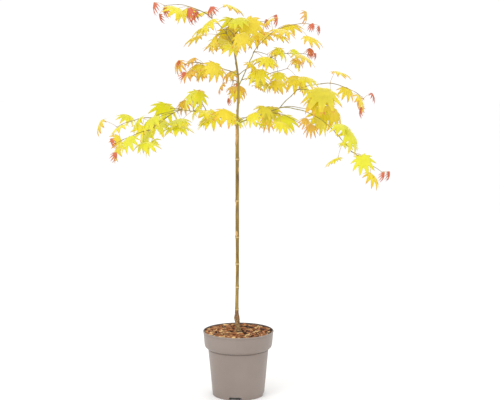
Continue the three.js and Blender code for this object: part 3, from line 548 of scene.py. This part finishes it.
def blade_template(sinus):
    """A blade laid flat: the angle, the share of the radius and the lift of each point, and its faces.

    Each lobe is a strip of rows from the stalk to the tip, with five points across. The first rows end on
    the rays to the sinuses, where neighbours share their points, and the others end on the toothed margin.
    """
    lobes = sorted(ALL_LOBES)
    rays = [((a + b) / 2, sinus * min(la, lb) + BLADE.sinus_rise)
            for (a, la), (b, lb) in zip(lobes, lobes[1:])] + [(180.0, BLADE.notch)]
    points, index, lifts, faces, bands = [], {}, [], [], []

    def vertex(x, y, lift):
        key = (round(x, 5), round(y, 5))
        if key not in index:
            index[key] = len(points)
            points.append((x, y))
            lifts.append(lift)
        return index[key]

    for i, (angle, length) in enumerate(lobes):
        turn = radians(angle)
        axis = np.array([cos(turn), sin(turn)])
        across = np.array([-sin(turn), cos(turn)])
        ends = lobe_ends(angle, (rays[i - 1], rays[i]))
        start = max((ends[0][1] + ends[1][1]) / 2, BLADE.start * length)
        grid = []
        for row in range(BLADE.web_rows + BLADE.rows + 1):
            t = min(row / BLADE.web_rows, 1)
            s = max(row - BLADE.web_rows, 0) / BLADE.rows
            tooth = BLADE.tooth * length * (1 - s) * (s > 0) * (1 if row % 2 else -1)
            line = []
            for column in COLUMNS:
                side, along_ray, across_ray = ends[0] if column < 0 else ends[1]
                u = mix(along_ray * t, length, s) + BLADE.tooth_out * tooth
                u = mix(mix(start * t, length, s), u, abs(column))
                v = across_ray * t * (1 - s) ** BLADE.tip * (1 + BLADE.belly * s) + tooth
                v *= side * abs(column)
                lift = BLADE.pleat * abs(v) * min(BLADE.pleat_rise * u / length, 1)
                lift -= BLADE.droop * s * s * length
                sway = sin(BLADE.wave_rate * u / length + BLADE.wave_turn * i)
                lift += BLADE.wave * sway * min(u / length, 1)
                line.append(vertex(*(axis * u + across * v), lift))
            grid.append(line)
        for row, (low, high) in enumerate(zip(grid, grid[1:])):
            s = (row + 1 - BLADE.web_rows) / BLADE.rows
            for k in range(len(COLUMNS) - 1):
                corners = [low[k], high[k], high[k + 1], low[k + 1]]
                face = tuple(c for n, c in enumerate(corners) if c != corners[n - 1])
                if len(set(face)) > 2:
                    faces.append(face)
                    bands.append(sum(s > edge for edge in BLADE.bands))
    flat = np.array(points)
    angles, parts = np.arctan2(flat[:, 1], flat[:, 0]), np.hypot(flat[:, 0], flat[:, 1])
    return angles, parts, np.array(lifts), faces, bands, rim_of(faces)


def rim_of(faces):
    """The edges that only one face has, in that face's direction."""
    edges = {(a, b) for face in faces for a, b in zip(face, face[1:] + face[:1])}
    return sorted(edge for edge in edges if edge[::-1] not in edges)


TEMPLATES = {name: blade_template(sinus) for name, sinus in SINUS.items()}


def add_blade(batch, leaf):
    angles, parts, lifts, faces, bands, rim = TEMPLATES["young" if leaf.youth > BLADE.young else "open"]
    points, normals = leaf.at(angles, parts * BLADE.grown, BLADE.bend)
    lifted = points + normals * (lifts * leaf.size * (1 + leaf.youth))[:, None]
    half = normals * (BLADE.thickness / 2)
    count = len(points)
    under = [tuple(i + count for i in face[::-1]) for face in faces]
    edge = [(a, a + count, b + count, b) for a, b in rim]
    kinds = bands + bands + [BLADE.rim_band] * len(edge)
    batch.add(np.vstack([lifted + half, lifted - half]), faces + under + edge, kinds)


# Materials

# The share of light that a surface sends back where it is to look as bright as its named colour
LIT = 0.88
# Where a finish's first and last colours lie in its noise, and how fine the noise and the relief are
RAMP = (0.3, 0.7)
COLOUR_DETAIL = 4
RELIEF_DETAIL = 6
# Noise stretched along the trunk, and along a sliver of bark
ALONG_TRUNK = (3, 3, 0.5)
ALONG_CHIP = (1, 3, 3)


def linear(rgb):
    """The surface colour that looks like an sRGB colour, given in 0 to 255, in this light."""
    return tuple(LIT * ((c / 255 + 0.055) / 1.055) ** 2.4 for c in rgb) + (1.0,)


def with_sockets(node, **values):
    """The node with these sockets set; an underscore stands for the space in a socket's name."""
    for socket, value in values.items():
        node.inputs[socket.replace("_", " ")].default_value = value
    return node


def plain_material(name, **sockets):
    """A material and its shader, with the sockets set on the shader itself."""
    made = bpy.data.materials.new(name)
    made.use_nodes = True
    return made, with_sockets(made.node_tree.nodes["Principled BSDF"], **sockets)


def material(name, colours, scale, roughness, relief_scale, relief, stretch=(1, 1, 1), **sockets):
    """A finish whose colours follow soft noise, with fine relief."""
    made, shader = plain_material(name, Roughness=roughness, **sockets)
    nodes, link = made.node_tree.nodes, made.node_tree.links.new
    mapping = with_sockets(nodes.new("ShaderNodeMapping"), Scale=stretch)
    link(nodes.new("ShaderNodeTexCoord").outputs["Object"], mapping.inputs["Vector"])

    def noise(size, detail):
        node = with_sockets(nodes.new("ShaderNodeTexNoise"), Scale=size, Detail=detail)
        link(mapping.outputs["Vector"], node.inputs["Vector"])
        return node.outputs["Fac"]

    ramp = nodes.new("ShaderNodeValToRGB")
    stops = ramp.color_ramp.elements
    stops[0].position, stops[1].position = RAMP
    for place in np.linspace(*RAMP, len(colours))[1:-1]:
        stops.new(place)
    for stop, colour in zip(stops, colours):
        stop.color = linear(colour)
    link(noise(scale, COLOUR_DETAIL), ramp.inputs["Fac"])
    link(ramp.outputs["Color"], shader.inputs["Base Color"])
    grain = with_sockets(nodes.new("ShaderNodeBump"), Distance=relief)
    link(noise(relief_scale, RELIEF_DETAIL), grain.inputs["Height"])
    link(grain.outputs["Normal"], shader.inputs["Normal"])
    return made


# Numbers of a finish: the scale of its colours' noise, its roughness, its relief's scale and height
BLADE_SKIN = (60, 0.5, 900, 0.0002)
CHIP_SKIN = (260, 0.75, 700, 0.0006)
# How far light spreads in a blade, in all and of each colour
SPREAD = dict(Subsurface_Scale=0.004, Subsurface_Radius=(1.0, 0.85, 0.12))
# The darker colour in a blade, as a share of its own
BLADE_SHADE = 0.93
# Each kind of leaf: the share of light that passes into it, its slot, and the colours of the blade, of the
# outer part of its lobes, and of their tips
LEAF_KINDS = table(("glow", "slot", "colours"), [
    ("lemon", 0.6, "leaves_yellow", ((232, 212, 42), (233, 204, 42), (226, 160, 52))),
    ("lime", 0.6, "leaves_yellow", ((216, 212, 38), (223, 209, 40), (225, 182, 50))),
    ("gold", 0.55, "leaves_gold", ((235, 202, 45), (231, 180, 50), (214, 128, 58))),
    ("amber", 0.4, "leaves_gold", ((232, 176, 68), (224, 148, 70), (202, 104, 66))),
    ("coral", 0.22, "leaves_red", ((214, 98, 72), (202, 80, 62), (186, 62, 56))),
])


def leaf_material(name, colour, glow):
    darker = tuple(BLADE_SHADE * c for c in colour)
    return material(name, (darker, colour), *BLADE_SKIN, Subsurface_Weight=glow, **SPREAD)


LEAF_MATERIALS = {
    name: [leaf_material(f"leaf_{name}_{i}", colour, kind.glow) for i, colour in enumerate(kind.colours)]
    for name, kind in LEAF_KINDS.items()
}
# The other finishes: colours, those four numbers, and how the noise is stretched
FINISHES = {name: material(name, *values) for name, *values in (
    ("trunk_bark", ((100, 76, 30), (146, 118, 46), (184, 152, 74)), 45, 0.62, 700, 0.0005, ALONG_TRUNK),
    ("node_ring", ((202, 174, 120), (224, 200, 150)), 200, 0.6, 900, 0.0003),
    ("upper_bark", ((118, 92, 40), (168, 142, 60), (188, 162, 72)), 60, 0.55, 900, 0.0003, ALONG_TRUNK),
    ("graft_bark", ((104, 74, 44), (156, 122, 76), (200, 170, 122)), 260, 0.75, 500, 0.0012),
    ("red_bark", ((104, 70, 42), (140, 100, 60), (160, 124, 76)), 200, 0.65, 600, 0.0006),
    ("scar_bark", ((196, 150, 88), (222, 180, 116)), 200, 0.7, 700, 0.0004),
    ("shoot_bark", ((128, 114, 44), (162, 150, 58), (180, 168, 70)), 120, 0.5, 900, 0.0002),
    ("twig_skin", ((132, 108, 50), (166, 144, 64)), 150, 0.45, 900, 0.0001),
    ("stalk_skin", ((196, 150, 72), (214, 176, 78)), 150, 0.45, 900, 0.0001),
    ("bud_skin", ((120, 52, 38), (150, 70, 48)), 300, 0.4, 900, 0.0001),
    ("pot_plastic", ((142, 129, 121), (150, 137, 129)), 12, 0.42, 2600, 0.0002),
    # The pot's inner wall above the mulch: the plastic's own colour darkened as painted shade
    ("pot_inside", ((84, 74, 68), (100, 90, 83)), 12, 0.6, 2600, 0.0002),
    # Dark potting mix, and painted shade where the mulch bed shows between the chips
    ("dark_mix", ((30, 18, 10), (60, 36, 20)), 200, 0.9, 500, 0.002),
)}
# The finishes on the trunk, by their places in its mesh
TRUNK_BARKS = ("trunk_bark", "node_ring", "upper_bark", "graft_bark", "red_bark", "scar_bark")
CHIP_KINDS = {
    "brown": ((132, 80, 40), (184, 122, 68)),
    # Dark chips: some dark bark at random, and painted shade on the chips in the hollows
    "dark": ((40, 18, 8), (84, 42, 20)),
    "pale": ((222, 172, 108), (255, 222, 158)),
    "rust": ((150, 84, 42), (200, 128, 70)),
}
CHIP_MATERIALS = [material("chip_" + name, pair, *CHIP_SKIN, ALONG_CHIP) for name, pair in CHIP_KINDS.items()]


# Trunk and boughs

# The trunk's skin: height of a ring, facets round it, and how many rings its bends are evened over
TRUNK_MESH = Values(step=1.5, facets=48, evened=7, kept=4)
# The graft: its bulge on the left and its neck on the right, as rise, height and width, and its rough bark
GRAFT = Values(bulge=(1.8, 207, 9), neck=(0.8, 203, 12), rough_to=226, rough_fade=12)
# Waves in the bark: how high they are, how many go round the trunk, their rate along it, and their start
ROUGH_WAVES = ((0.175, 3, 0.17316, pi / 2), (-0.175, 7, 0.779221, pi / 2), (0.22, 13, 0.2, 0),
               (0.18, 4, 0.769231, 0))
BARK_WAVES = ((0.1, 7, 0.021, 0), (0.08, 11, -0.013, 2), (0.1, 0, 1 / 17, 0), (0.07, 3, 1 / 6.1, 0))
WAVES_RADIUS = 4.5
# Where the graft's rough bark ends, the red-brown bark above it ends, and the young bark begins
BARK_HEIGHTS = Values(graft=209, red=230, upper=FORK + 6)
# The trunk's nodes: their heights, how high and wide each swells, and half the width of its pale ring
NODES = Values(heights=(232, 293, 356, 428, 525, 636, 700), swells=((0.3, 1.6), (0.25, 5)), ring=1.3)
# The seats of lost buds: height and azimuth
SEATS = ((428, 180), (525, 180), (293, 20), (356, 200), (636, 10), (764, 200), (799, 20), (887, 160),
         (913, 10), (678, 185))
SEAT = Values(rise=1.1, width=4)
# Healed scars of side shoots: height, half of their own height, azimuth, half of their angle
SCARS = ((696, 22, 228, 48), (520, 8, 205, 40), (608, 7, 330, 35), (438, 7, 240, 40))


def waves(rows, height, angle):
    return sum(rise * np.sin(count * angle + rate * height + turn) for rise, count, rate, turn in rows)


def trunk_radius(height, angle):
    """The trunk's radius with the spread of its roots, its graft, its node rings and its buds' seats."""
    radius = np.interp(height, TRUNK[:, 0], TRUNK[:, 2])
    low = np.clip(1 - (height - TRUNK[0, 0]) / ROOTS.height, 0, 1)
    radius = radius * (1 + ROOTS.spread * low * low * np.cos(ROOTS.count * angle + ROOTS.turn))
    left = np.clip(np.cos(angle - pi), 0, 1)
    for (rise, *place), share in ((GRAFT.bulge, left ** 2), (GRAFT.neck, 1 - left)):
        radius = radius + rise * bump(height, *place) * share
    rough = np.clip((GRAFT.rough_to - height) / GRAFT.rough_fade, 0, 1)
    radius = radius + rough * waves(ROUGH_WAVES, height, angle)
    for node in NODES.heights:
        for rise, width in NODES.swells:
            radius = radius + rise * bump(height, node, width)
    for node, way in SEATS:
        facing = np.clip(np.cos(angle - radians(way)), 0, 1)
        radius = radius + SEAT.rise * bump(height, node, SEAT.width) * facing ** 3
    return radius + waves(BARK_WAVES, height, angle) * radius / WAVES_RADIUS


def make_trunk():
    batch = Batch()
    facets, kept = TRUNK_MESH.facets, TRUNK_MESH.kept
    heights = np.arange(TRUNK[0, 0], TIP + TRUNK_MESH.step / 3, TRUNK_MESH.step)
    offsets = np.interp(heights, TRUNK[:, 0], TRUNK[:, 1])
    even = np.ones(TRUNK_MESH.evened) / TRUNK_MESH.evened
    offsets[kept:-kept] = np.convolve(offsets, even, "same")[kept:-kept]
    points = np.column_stack([offsets, np.zeros_like(heights), heights])
    angles = turns(facets)
    frames = [np.tile(axis, (len(heights), 1)) for axis in ([1.0, 0.0, 0.0], [0.0, 1.0, 0.0])]
    tube(batch, points, trunk_radius(heights[:, None], angles[None]), facets, frames)
    middles = (heights[:-1] + heights[1:]) / 2
    ringed = np.any([np.abs(middles - node) < NODES.ring for node in NODES.heights], axis=0)
    plain, ring, upper, graft, red, scar = range(len(TRUNK_BARKS))
    limits = [middles > BARK_HEIGHTS.upper, ringed, middles < BARK_HEIGHTS.graft,
              middles < BARK_HEIGHTS.red]
    kinds = np.repeat(np.select(limits, [upper, ring, graft, red], plain)[:, None], facets, axis=1)
    for height, reach, way, half_angle in SCARS:
        off = (np.degrees(angles) - way + 180) % 360 - 180
        kinds[((middles[:, None] - height) / reach) ** 2 + (off[None] / half_angle) ** 2 < 1] = scar
    batch.kinds[:kinds.size] = kinds.reshape(-1).tolist()
    batch.piece("trunk_bark", [FINISHES[name] for name in TRUNK_BARKS], "bark", ["trunk"])


LIMB = Values(step=2.5, steep=0.9, collar=0.45, collar_length=2.5, node_width=1.6, slimmer=0.76,
              swell=0.35, stem_swell=0.5, facets=12, stem_facets=8, stalk_facets=6)
# The nodes of a bough, as shares of its length: on a long one, and on a short one
LONG_BOUGH = Values(length=70, nodes=(0.33, 0.66, 0.985))
SHORT_NODES = (0.5, 0.98)
# A bud: places along it and radii there, in its own size; its length, and how it leaves the shoot
BUD = Values(profile=((0, 0.7), (0.35, 1.0), (0.7, 0.62), (1.0, 0.12)), length=2.1, out=0.55, onward=0.85,
             lift=0.5, foot=0.95, tip=0.7, end=0.9, roll=40)
STALK_SKIRT = Values(points=15, foot=0.5, foot_length=0.05, blade=0.35, blade_length=0.04)


def add_limb(batch, path, foot, tip, facets, nodes=(), swell=LIMB.swell):
    """A limb with an even taper, a collar at the foot and a swelling at each node."""
    points = smooth_path(path)
    place = np.concatenate([[0], np.cumsum(np.linalg.norm(np.diff(points, axis=0), axis=1))])
    radii = mix(foot, tip, place / place[-1]) + LIMB.collar * foot * np.exp(-place / LIMB.collar_length)
    for t in nodes:
        radii = radii + swell * tip * bump(place, t * place[-1], LIMB.node_width)
    tube(batch, points, radii, facets)


def make_boughs(paths):
    batch = Batch()
    for name, path in paths.items():
        foot, tip = (LIMB.slimmer * radius for radius in BOUGHS[name].radii)
        nodes = LONG_BOUGH.nodes if BOUGHS[name].length > LONG_BOUGH.length else SHORT_NODES
        add_limb(batch, path, foot, tip, LIMB.facets, nodes)
    batch.piece("bough_bark", [FINISHES["shoot_bark"]], "young_bark", list(paths))


def add_bud(batch, node, out, size):
    """A small pointed bud, pressed against the shoot."""
    points = np.array([node + out * (size * BUD.length * t) for t, _ in BUD.profile])
    tube(batch, points, np.array([r for _, r in BUD.profile]) * size, LIMB.stalk_facets)


def add_stalk(batch, leaf):
    node, middle, centre = leaf.stalk
    share = np.linspace(0, 1, STALK_SKIRT.points)
    points = arc(node, 2 * middle - (node + centre) / 2, centre, share[:, None])
    radii = mix(STEM.stalk_foot, STEM.stalk_tip, share)
    radii += STALK_SKIRT.foot * np.exp(-share / STALK_SKIRT.foot_length)
    radii += STALK_SKIRT.blade * np.exp(-(1 - share) / STALK_SKIRT.blade_length)
    tube(batch, points, radii, LIMB.stalk_facets)


def make_shoots(masses):
    """The stems, side twigs, stalks and buds of all masses, each kind a piece of its own."""
    stems, stalks, buds = Batch(), Batch(), Batch()
    for grown in masses.values():
        nodes = [t for t, _, _ in grown.nodes]
        add_limb(stems, grown.stem, STEM.foot, STEM.tip, LIMB.stem_facets, nodes, LIMB.stem_swell)
        for twig in grown.twigs:
            add_limb(stems, twig, STEM.twig_foot, STEM.twig_tip, LIMB.stem_facets)
        for leaf in grown.leaves:
            add_stalk(stalks, leaf)
        for t, node, course in grown.nodes:
            roll = 90 * len(nodes) + BUD.roll
            for side in (0, 1):
                out = blend(outward(course, roll + 180 * side), BUD.out, course, BUD.onward)
                add_bud(buds, node + out * BUD.lift, out, mix(BUD.foot, BUD.tip, t))
        add_bud(buds, grown.stem[-1], course_at(grown.stem, 1), BUD.end)
    for batch, name, finish in ((stems, "stem_bark", "twig_skin"), (stalks, "leaf_stalks", "stalk_skin"),
                                (buds, "buds", "bud_skin")):
        batch.piece(name, [FINISHES[finish]], "young_bark", list(masses))


# The shares of gold and of lime leaves among the grown ones, at the fork and at the trunk's tip
GOLD_SHARE = (0.08, 0.34)
LIME_SHARE = (0.42, 0.12)
# The sprays with a tint of their own, and the share of their leaves that have it
TURNED = dict(middle_left_leaves="amber", middle_left_inner_leaves="gold", middle_right_leaves="gold",
              back_leaves="amber", upper_right_leaves="gold", right_upper_leaves="gold",
              left_lower_leaves="lime", left_lower_inner_leaves="lime")
TURNED_SHARE = 0.75
# How young a leaf is that has this tint
YOUNG = Values(coral=0.72, amber=0.5, gold=0.4)
DEAL = Values(seed=29, most=60)


def kind_of(name, leaf, draw):
    """A leaf's colour: by its youth and its spray, and else by a draw, with more gold near the top."""
    chance = draw()
    turned = draw() < TURNED_SHARE
    height = min(max((leaf.centre[2] - FORK) / (TIP - FORK), 0), 1)
    if leaf.youth > YOUNG.coral:
        return "coral"
    if leaf.youth > YOUNG.amber:
        return "amber"
    if name in TURNED and turned:
        return TURNED[name]
    if leaf.youth > YOUNG.gold:
        return "gold"
    gold, lime = mix(*GOLD_SHARE, height), mix(*LIME_SHARE, height)
    return "gold" if chance < gold else "lime" if chance < gold + lime else "lemon"


def make_leaves(masses):
    """The blades, joined by colour into pieces of no more than so many leaves."""
    dealt = {kind: [] for kind in LEAF_KINDS}
    draw = seeded(DEAL.seed)
    for name, grown in masses.items():
        for leaf in grown.leaves:
            dealt[kind_of(name, leaf, draw)].append((name, leaf))
    for kind, leaves in dealt.items():
        for part, first in enumerate(range(0, len(leaves), DEAL.most), 1):
            batch = Batch()
            chosen = leaves[first:first + DEAL.most]
            for _, leaf in chosen:
                add_blade(batch, leaf)
            nodes = sorted({name for name, _ in chosen})
            batch.piece(f"leaves_{kind}_{part}", LEAF_MATERIALS[kind], LEAF_KINDS[kind].slot, nodes)


# Pot

# Forms of the pot's wall, outwards and upwards from the place that each starts from: the shadow line where
# the wall meets the collar, the collar's rounded shoulder, and the groove below the rim
LEDGE = ((-1.5, 0.5), (-1.5, 2.0), (0.8, 2.4), (4.8, 4.6))
SHOULDER = ((0.1, 1.6), (1.6, 7))
GROOVE = ((-0.3, -2.2), (-1.1, -1.4), (-0.3, -0.6))
CORNER = Values(radius=0.9, steps=3, share=0.45, sharp=35)
CUT = Values(below=1, drain=(-4, 6))
BOX_FACES = [(0, 2, 3, 1), (4, 5, 7, 6), (0, 1, 5, 4), (2, 6, 7, 3), (0, 4, 6, 2), (1, 3, 7, 5)]


def rounded(profile):
    """A closed profile with each corner turned into a short arc."""
    points = np.array(profile, float)
    out = []
    for i, corner in enumerate(points):
        if corner[0] == 0:
            out.append(corner)
            continue
        before, after = points[i - 1] - corner, points[(i + 1) % len(points)] - corner
        room = CORNER.share * min(np.linalg.norm(before), np.linalg.norm(after))
        reach = min(CORNER.radius, room)
        a, b = corner + unit(before) * reach, corner + unit(after) * reach
        out += [arc(a, corner, b, t) for t in np.linspace(0, 1, CORNER.steps + 1)]
    return np.array(out)


def lathe(batch, profile, facets):
    """A profile turned round the axis; it starts and ends on the axis."""
    angles, inner = turns(facets), profile[1:-1]
    rings = np.stack([np.outer(inner[:, 0], np.cos(angles)), np.outer(inner[:, 0], np.sin(angles)),
                      np.repeat(inner[:, 1:2], facets, axis=1)], axis=2)
    add_rings(batch, rings, [[0, 0, profile[0][1]], [0, 0, profile[-1][1]]])


def wall_radius(height):
    return mix(POT.foot, POT.neck, height / POT.neck_height)


def mulch_radius(height):
    low, high = POT.collar_height, POT.height - POT.lip_depth
    t = (height - low) / (high - low)
    return mix(POT.collar - POT.wall, POT.rim - POT.wall - POT.lip / 2, t) - SOIL.slack


def mulch_height(radius):
    t = max(radius - SOIL.crown_radius, 0) / (mulch_radius(SOIL.edge) - SOIL.crown_radius)
    return mix(SOIL.crown, SOIL.edge, t)


def pot_profile():
    p = POT
    wall, foot_rise, lip_bottom = p.wall, p.floor + p.wall, p.height - p.lip_depth
    pad_foot = p.pad + p.pad_slope

    def beside(radius, height, offsets):
        return [(radius + out, height + up) for out, up in offsets]

    outside = [
        (0, 0), (p.pad, 0), (pad_foot, p.floor), (wall_radius(p.floor) - wall, p.floor),
        (wall_radius(0) - wall, 0), (p.foot, 0), (p.neck, p.neck_height),
        *beside(p.neck, p.neck_height, LEDGE), *beside(p.collar, p.collar_height, SHOULDER),
        *beside(p.rim - p.groove, lip_bottom, GROOVE), (p.rim, lip_bottom + p.bevel),
        (p.rim, p.height - p.bevel), (p.rim - p.bevel, p.height),
    ]
    inside = [
        (p.rim - p.lip, p.height), (mulch_radius(lip_bottom) + SOIL.slack, lip_bottom),
        (p.collar - wall, p.collar_height + wall / 4), (p.neck - wall, p.neck_height + wall / 4),
        (wall_radius(foot_rise) - wall, foot_rise), (pad_foot + wall, foot_rise), (p.pad + wall, wall),
        (0, wall),
    ]
    return rounded(outside + inside)


def around(form):
    return [heading(form.azimuth + 360 * i / form.count, 0) for i in range(form.count)]


def cutters():
    """The notches across the foot and the drain holes, as one object."""
    batch = Batch()
    for out in around(NOTCH):
        across = np.cross(UP, out)
        corners = [out * (POT.foot + end * NOTCH.depth / 2) + across * side * width / 2 + UP * z
                   for end in (-1, 1) for width, z in ((NOTCH.foot, -CUT.below), (NOTCH.top, NOTCH.height))
                   for side in (-1, 1)]
        batch.add(corners, BOX_FACES)
    for out in around(DRAIN):
        ends = [out * DRAIN.ring + UP * (POT.floor + rise) for rise in CUT.drain]
        tube(batch, np.array(ends), [DRAIN.radius] * 2, DRAIN.facets)
    return batch.made("cutters")


def smooth_by_angle(piece, limit):
    """Keeps an edge sharp where its faces turn by more than the angle."""
    mesh = piece.data
    mesh.polygons.foreach_set("use_smooth", [True] * len(mesh.polygons))
    sides, cosine = {}, cos(radians(limit))
    for face in mesh.polygons:
        for key in face.edge_keys:
            sides.setdefault(key, []).append(tuple(face.normal))
    sharp = [len(sides[edge.key]) != 2 or bool(np.dot(*sides[edge.key]) < cosine) for edge in mesh.edges]
    mesh.edges.foreach_set("use_edge_sharp", sharp)
    mesh.update()


def make_pot():
    batch = Batch()
    lathe(batch, pot_profile(), POT.facets)
    pot = batch.piece("pot_shell", [FINISHES["pot_plastic"]], "pot", ["pot"])
    tool = cutters()
    cut = pot.modifiers.new("cut", "BOOLEAN")
    cut.operation, cut.solver, cut.object = "DIFFERENCE", "EXACT", tool
    bpy.context.view_layer.update()
    pot.data = bpy.data.meshes.new_from_object(pot.evaluated_get(bpy.context.evaluated_depsgraph_get()))
    pot.modifiers.clear()
    bpy.data.objects.remove(tool)
    smooth_by_angle(pot, CORNER.sharp)
    # The faces of the inner wall above the mulch take the darker finish: painted shade
    pot.data.materials.append(FINISHES["pot_inside"])
    for face in pot.data.polygons:
        x, y, z = face.center / MM
        if z > SOIL.height and hypot(x, y) < mulch_radius(z) + SOIL.slack + 1:
            face.material_index = 1


# Mulch

BED = Values(rings=24, facets=96, edge_sink=2, sink=1.5, crown_sink=1, rough=2.2, share_up=0.6, still=2)
CHIPS = Values(count=640, seed=17, length=24, width=6.6, thickness=2.8, inner=6, outer=90, pitch=40,
               edge_rise=2.4, golden=137.508, jitter=30, tilt=0.9, margin=1.2, overhang=0.45, stagger=3.2,
               sunk=1.2, hollow_depth=2.6)
# The least share of its size that a chip draws, and the range above it
SHARES = Values(length=(0.35, 0.75), width=(0.35, 0.8), thickness=(0.4, 0.8), across=(0.75, 0.35),
                through=(0.7, 0.5), short=1.5)
# A sliver: its sections, how far it bows and wavers, and how width and height taper towards its ends
SLIVER = Values(sections=4, bow=0.3, waver=0.2, end_width=0.75, end_height=0.6)
# The share of chips of each colour, added up
CHIP_SHARES = (0.34, 0.5, 0.7)
# Hollows in the mulch, where the chips lie lower and take the dark colour as painted shade: to the right, to
# the back, radius
HOLLOWS = np.array([(-19, 0, 10), (21, 55, 15), (16, -13, 9), (-3, -70, 10), (-52, 20, 8), (48, -30, 8)])


def drawn(share, number):
    return share[0] + share[1] * number


def add_chip(batch, centre, length, width, thickness, axes, draw, kind):
    """A split sliver of bark: a bent box with ragged ends."""
    along_axis, across_axis, up_axis = axes
    bow = thickness * (draw() - SLIVER.bow)
    corners = []
    for t in np.linspace(-0.5, 0.5, SLIVER.sections):
        taper = abs(2 * t) ** 4
        w = width * drawn(SHARES.across, draw()) * (1 - SLIVER.end_width * taper) / 2
        h = thickness * drawn(SHARES.through, draw()) * (1 - SLIVER.end_height * taper) / 2
        middle = centre + along_axis * (length * t) + up_axis * (bow * (1 - 4 * t * t))
        middle = middle + across_axis * (width * SLIVER.waver * (draw() - 0.5))
        corners += [middle + across_axis * a * w + up_axis * b * h
                    for a, b in ((-1, -1), (1, -1), (1, 1), (-1, 1))]
    last = len(corners) - 1
    caps = [(3, 2, 1, 0), (last - 3, last - 2, last - 1, last)]
    batch.add(corners, ring_faces(SLIVER.sections, 4) + caps, kind)


def make_mulch_bed():
    """The lower layer: dark potting mix, with painted shade where it shows between the chips; uneven, and
    level with the chips' undersides.
    """
    bed = Batch()
    draw = seeded(CHIPS.seed)
    low, edge = SOIL.height + GAP, mulch_radius(SOIL.edge)
    profile = [(0, low), (mulch_radius(low), low), (edge, SOIL.edge - BED.edge_sink)]
    for radius in np.linspace(edge - 1, SOIL.crown_radius, BED.rings):
        profile.append((radius, mulch_height(radius) - BED.sink))
    lathe(bed, np.array(profile + [(0, SOIL.crown - BED.crown_sink)]), BED.facets)
    for point in bed.vertices[0]:
        if point[2] > SOIL.height + BED.still:
            point[2] += BED.rough * (draw() - BED.share_up)
    bed.piece("mulch_bed", [FINISHES["dark_mix"]], "bark_mulch", ["bark_mulch"])


def make_mulch_chips():
    chips = Batch()
    draw = seeded(CHIPS.seed + 1)
    dark = list(CHIP_KINDS).index("dark")
    for i in range(CHIPS.count):
        radius = mix(CHIPS.inner, CHIPS.outer, sqrt((i + draw()) / CHIPS.count))
        way = heading(CHIPS.golden * i + CHIPS.jitter * draw(), 0)
        length = CHIPS.length * drawn(SHARES.length, draw() ** SHARES.short)
        axis = heading(360 * draw(), CHIPS.pitch * (draw() - 0.5))
        up = unit(UP + CHIPS.tilt * heading(360 * draw(), 0) * draw())
        across = unit(np.cross(up, axis))
        room = mulch_radius(SOIL.edge) - CHIPS.margin - CHIPS.overhang * length * abs(axis @ way)
        centre = way * min(radius, room)
        raised = CHIPS.edge_rise * (radius / CHIPS.outer) ** 4
        in_hollow = np.any(np.hypot(*(HOLLOWS[:, :2] - centre[:2]).T) < HOLLOWS[:, 2])
        lift = CHIPS.stagger * draw() - CHIPS.sunk - CHIPS.hollow_depth * in_hollow
        centre[2] = mulch_height(np.hypot(centre[0], centre[1])) + raised + lift
        width = CHIPS.width * drawn(SHARES.width, draw())
        share = draw()
        # A chip in a hollow takes the dark colour: painted shade
        kind = dark if in_hollow else sum(share > edge for edge in CHIP_SHARES)
        thickness = CHIPS.thickness * drawn(SHARES.thickness, draw())
        axes = (axis, across, np.cross(axis, across))
        add_chip(chips, centre, length, width, thickness, axes, draw, kind)
    chips.piece("mulch_chips", CHIP_MATERIALS, "bark_mulch", ["bark_mulch"], smooth=False)


def finish_node(name, finish):
    """Gives a node of the frame a better finish."""
    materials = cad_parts[name].data.materials
    materials.clear()
    materials.append(finish)


# Studio

FLOOR = Values(reach=30, colour=(0.97, 0.97, 0.97, 1), roughness=0.9)
SKY = 1.04
AIM = (0, 0, 0.7)
# The lamps: place, size, power
LAMPS = dict(key=((-1.8, -2.2, 2.6), 1.6, 30), fill=((2.2, -1.8, 1.8), 1.6, 9),
             back=((0.4, 2.2, 2.4), 1.6, 12))


def make_studio():
    """A pale floor that runs to the horizon, soft light all round and a large lamp above each side."""
    scene = bpy.context.scene
    sheet = bpy.data.meshes.new("floor")
    corners = [(x * FLOOR.reach, y * FLOOR.reach, 0) for x, y in ((-1, -1), (1, -1), (1, 1), (-1, 1))]
    sheet.from_pydata(corners, [], [(0, 1, 2, 3)])
    stage = placed("floor", sheet)
    paper, _ = plain_material("floor_paper", Base_Color=FLOOR.colour, Roughness=FLOOR.roughness)
    sheet.materials.append(paper)
    scene.world = bpy.data.worlds.new("studio")
    scene.world.use_nodes = True
    with_sockets(scene.world.node_tree.nodes["Background"], Color=(1, 1, 1, 1), Strength=SKY)
    for name, (place, size, power) in LAMPS.items():
        lamp = bpy.data.lights.new(name, "AREA")
        lamp.energy, lamp.size = power, size
        light = placed(name, lamp)
        light.location = place
        x, y, z = np.array(AIM) - np.array(place)
        light.rotation_euler = (atan2(hypot(x, y), -z), 0, atan2(-x, y))
    scene.view_settings.view_transform = "Standard"


def make_camera():
    lens = bpy.data.cameras.new("camera")
    lens.lens, lens.sensor_width = CAMERA.lens, CAMERA.sensor
    camera = placed("camera", lens)
    camera.location = CAMERA.place
    camera.rotation_euler = (radians(90 - CAMERA.down), 0, 0)
    bpy.context.scene.camera = camera


make_camera()
bough_paths, leaf_masses = grow_plant()
make_trunk()
make_boughs(bough_paths)
make_shoots(leaf_masses)
make_leaves(leaf_masses)
make_pot()
make_mulch_bed()
make_mulch_chips()
finish_node("potting_mix", FINISHES["dark_mix"])
make_studio()
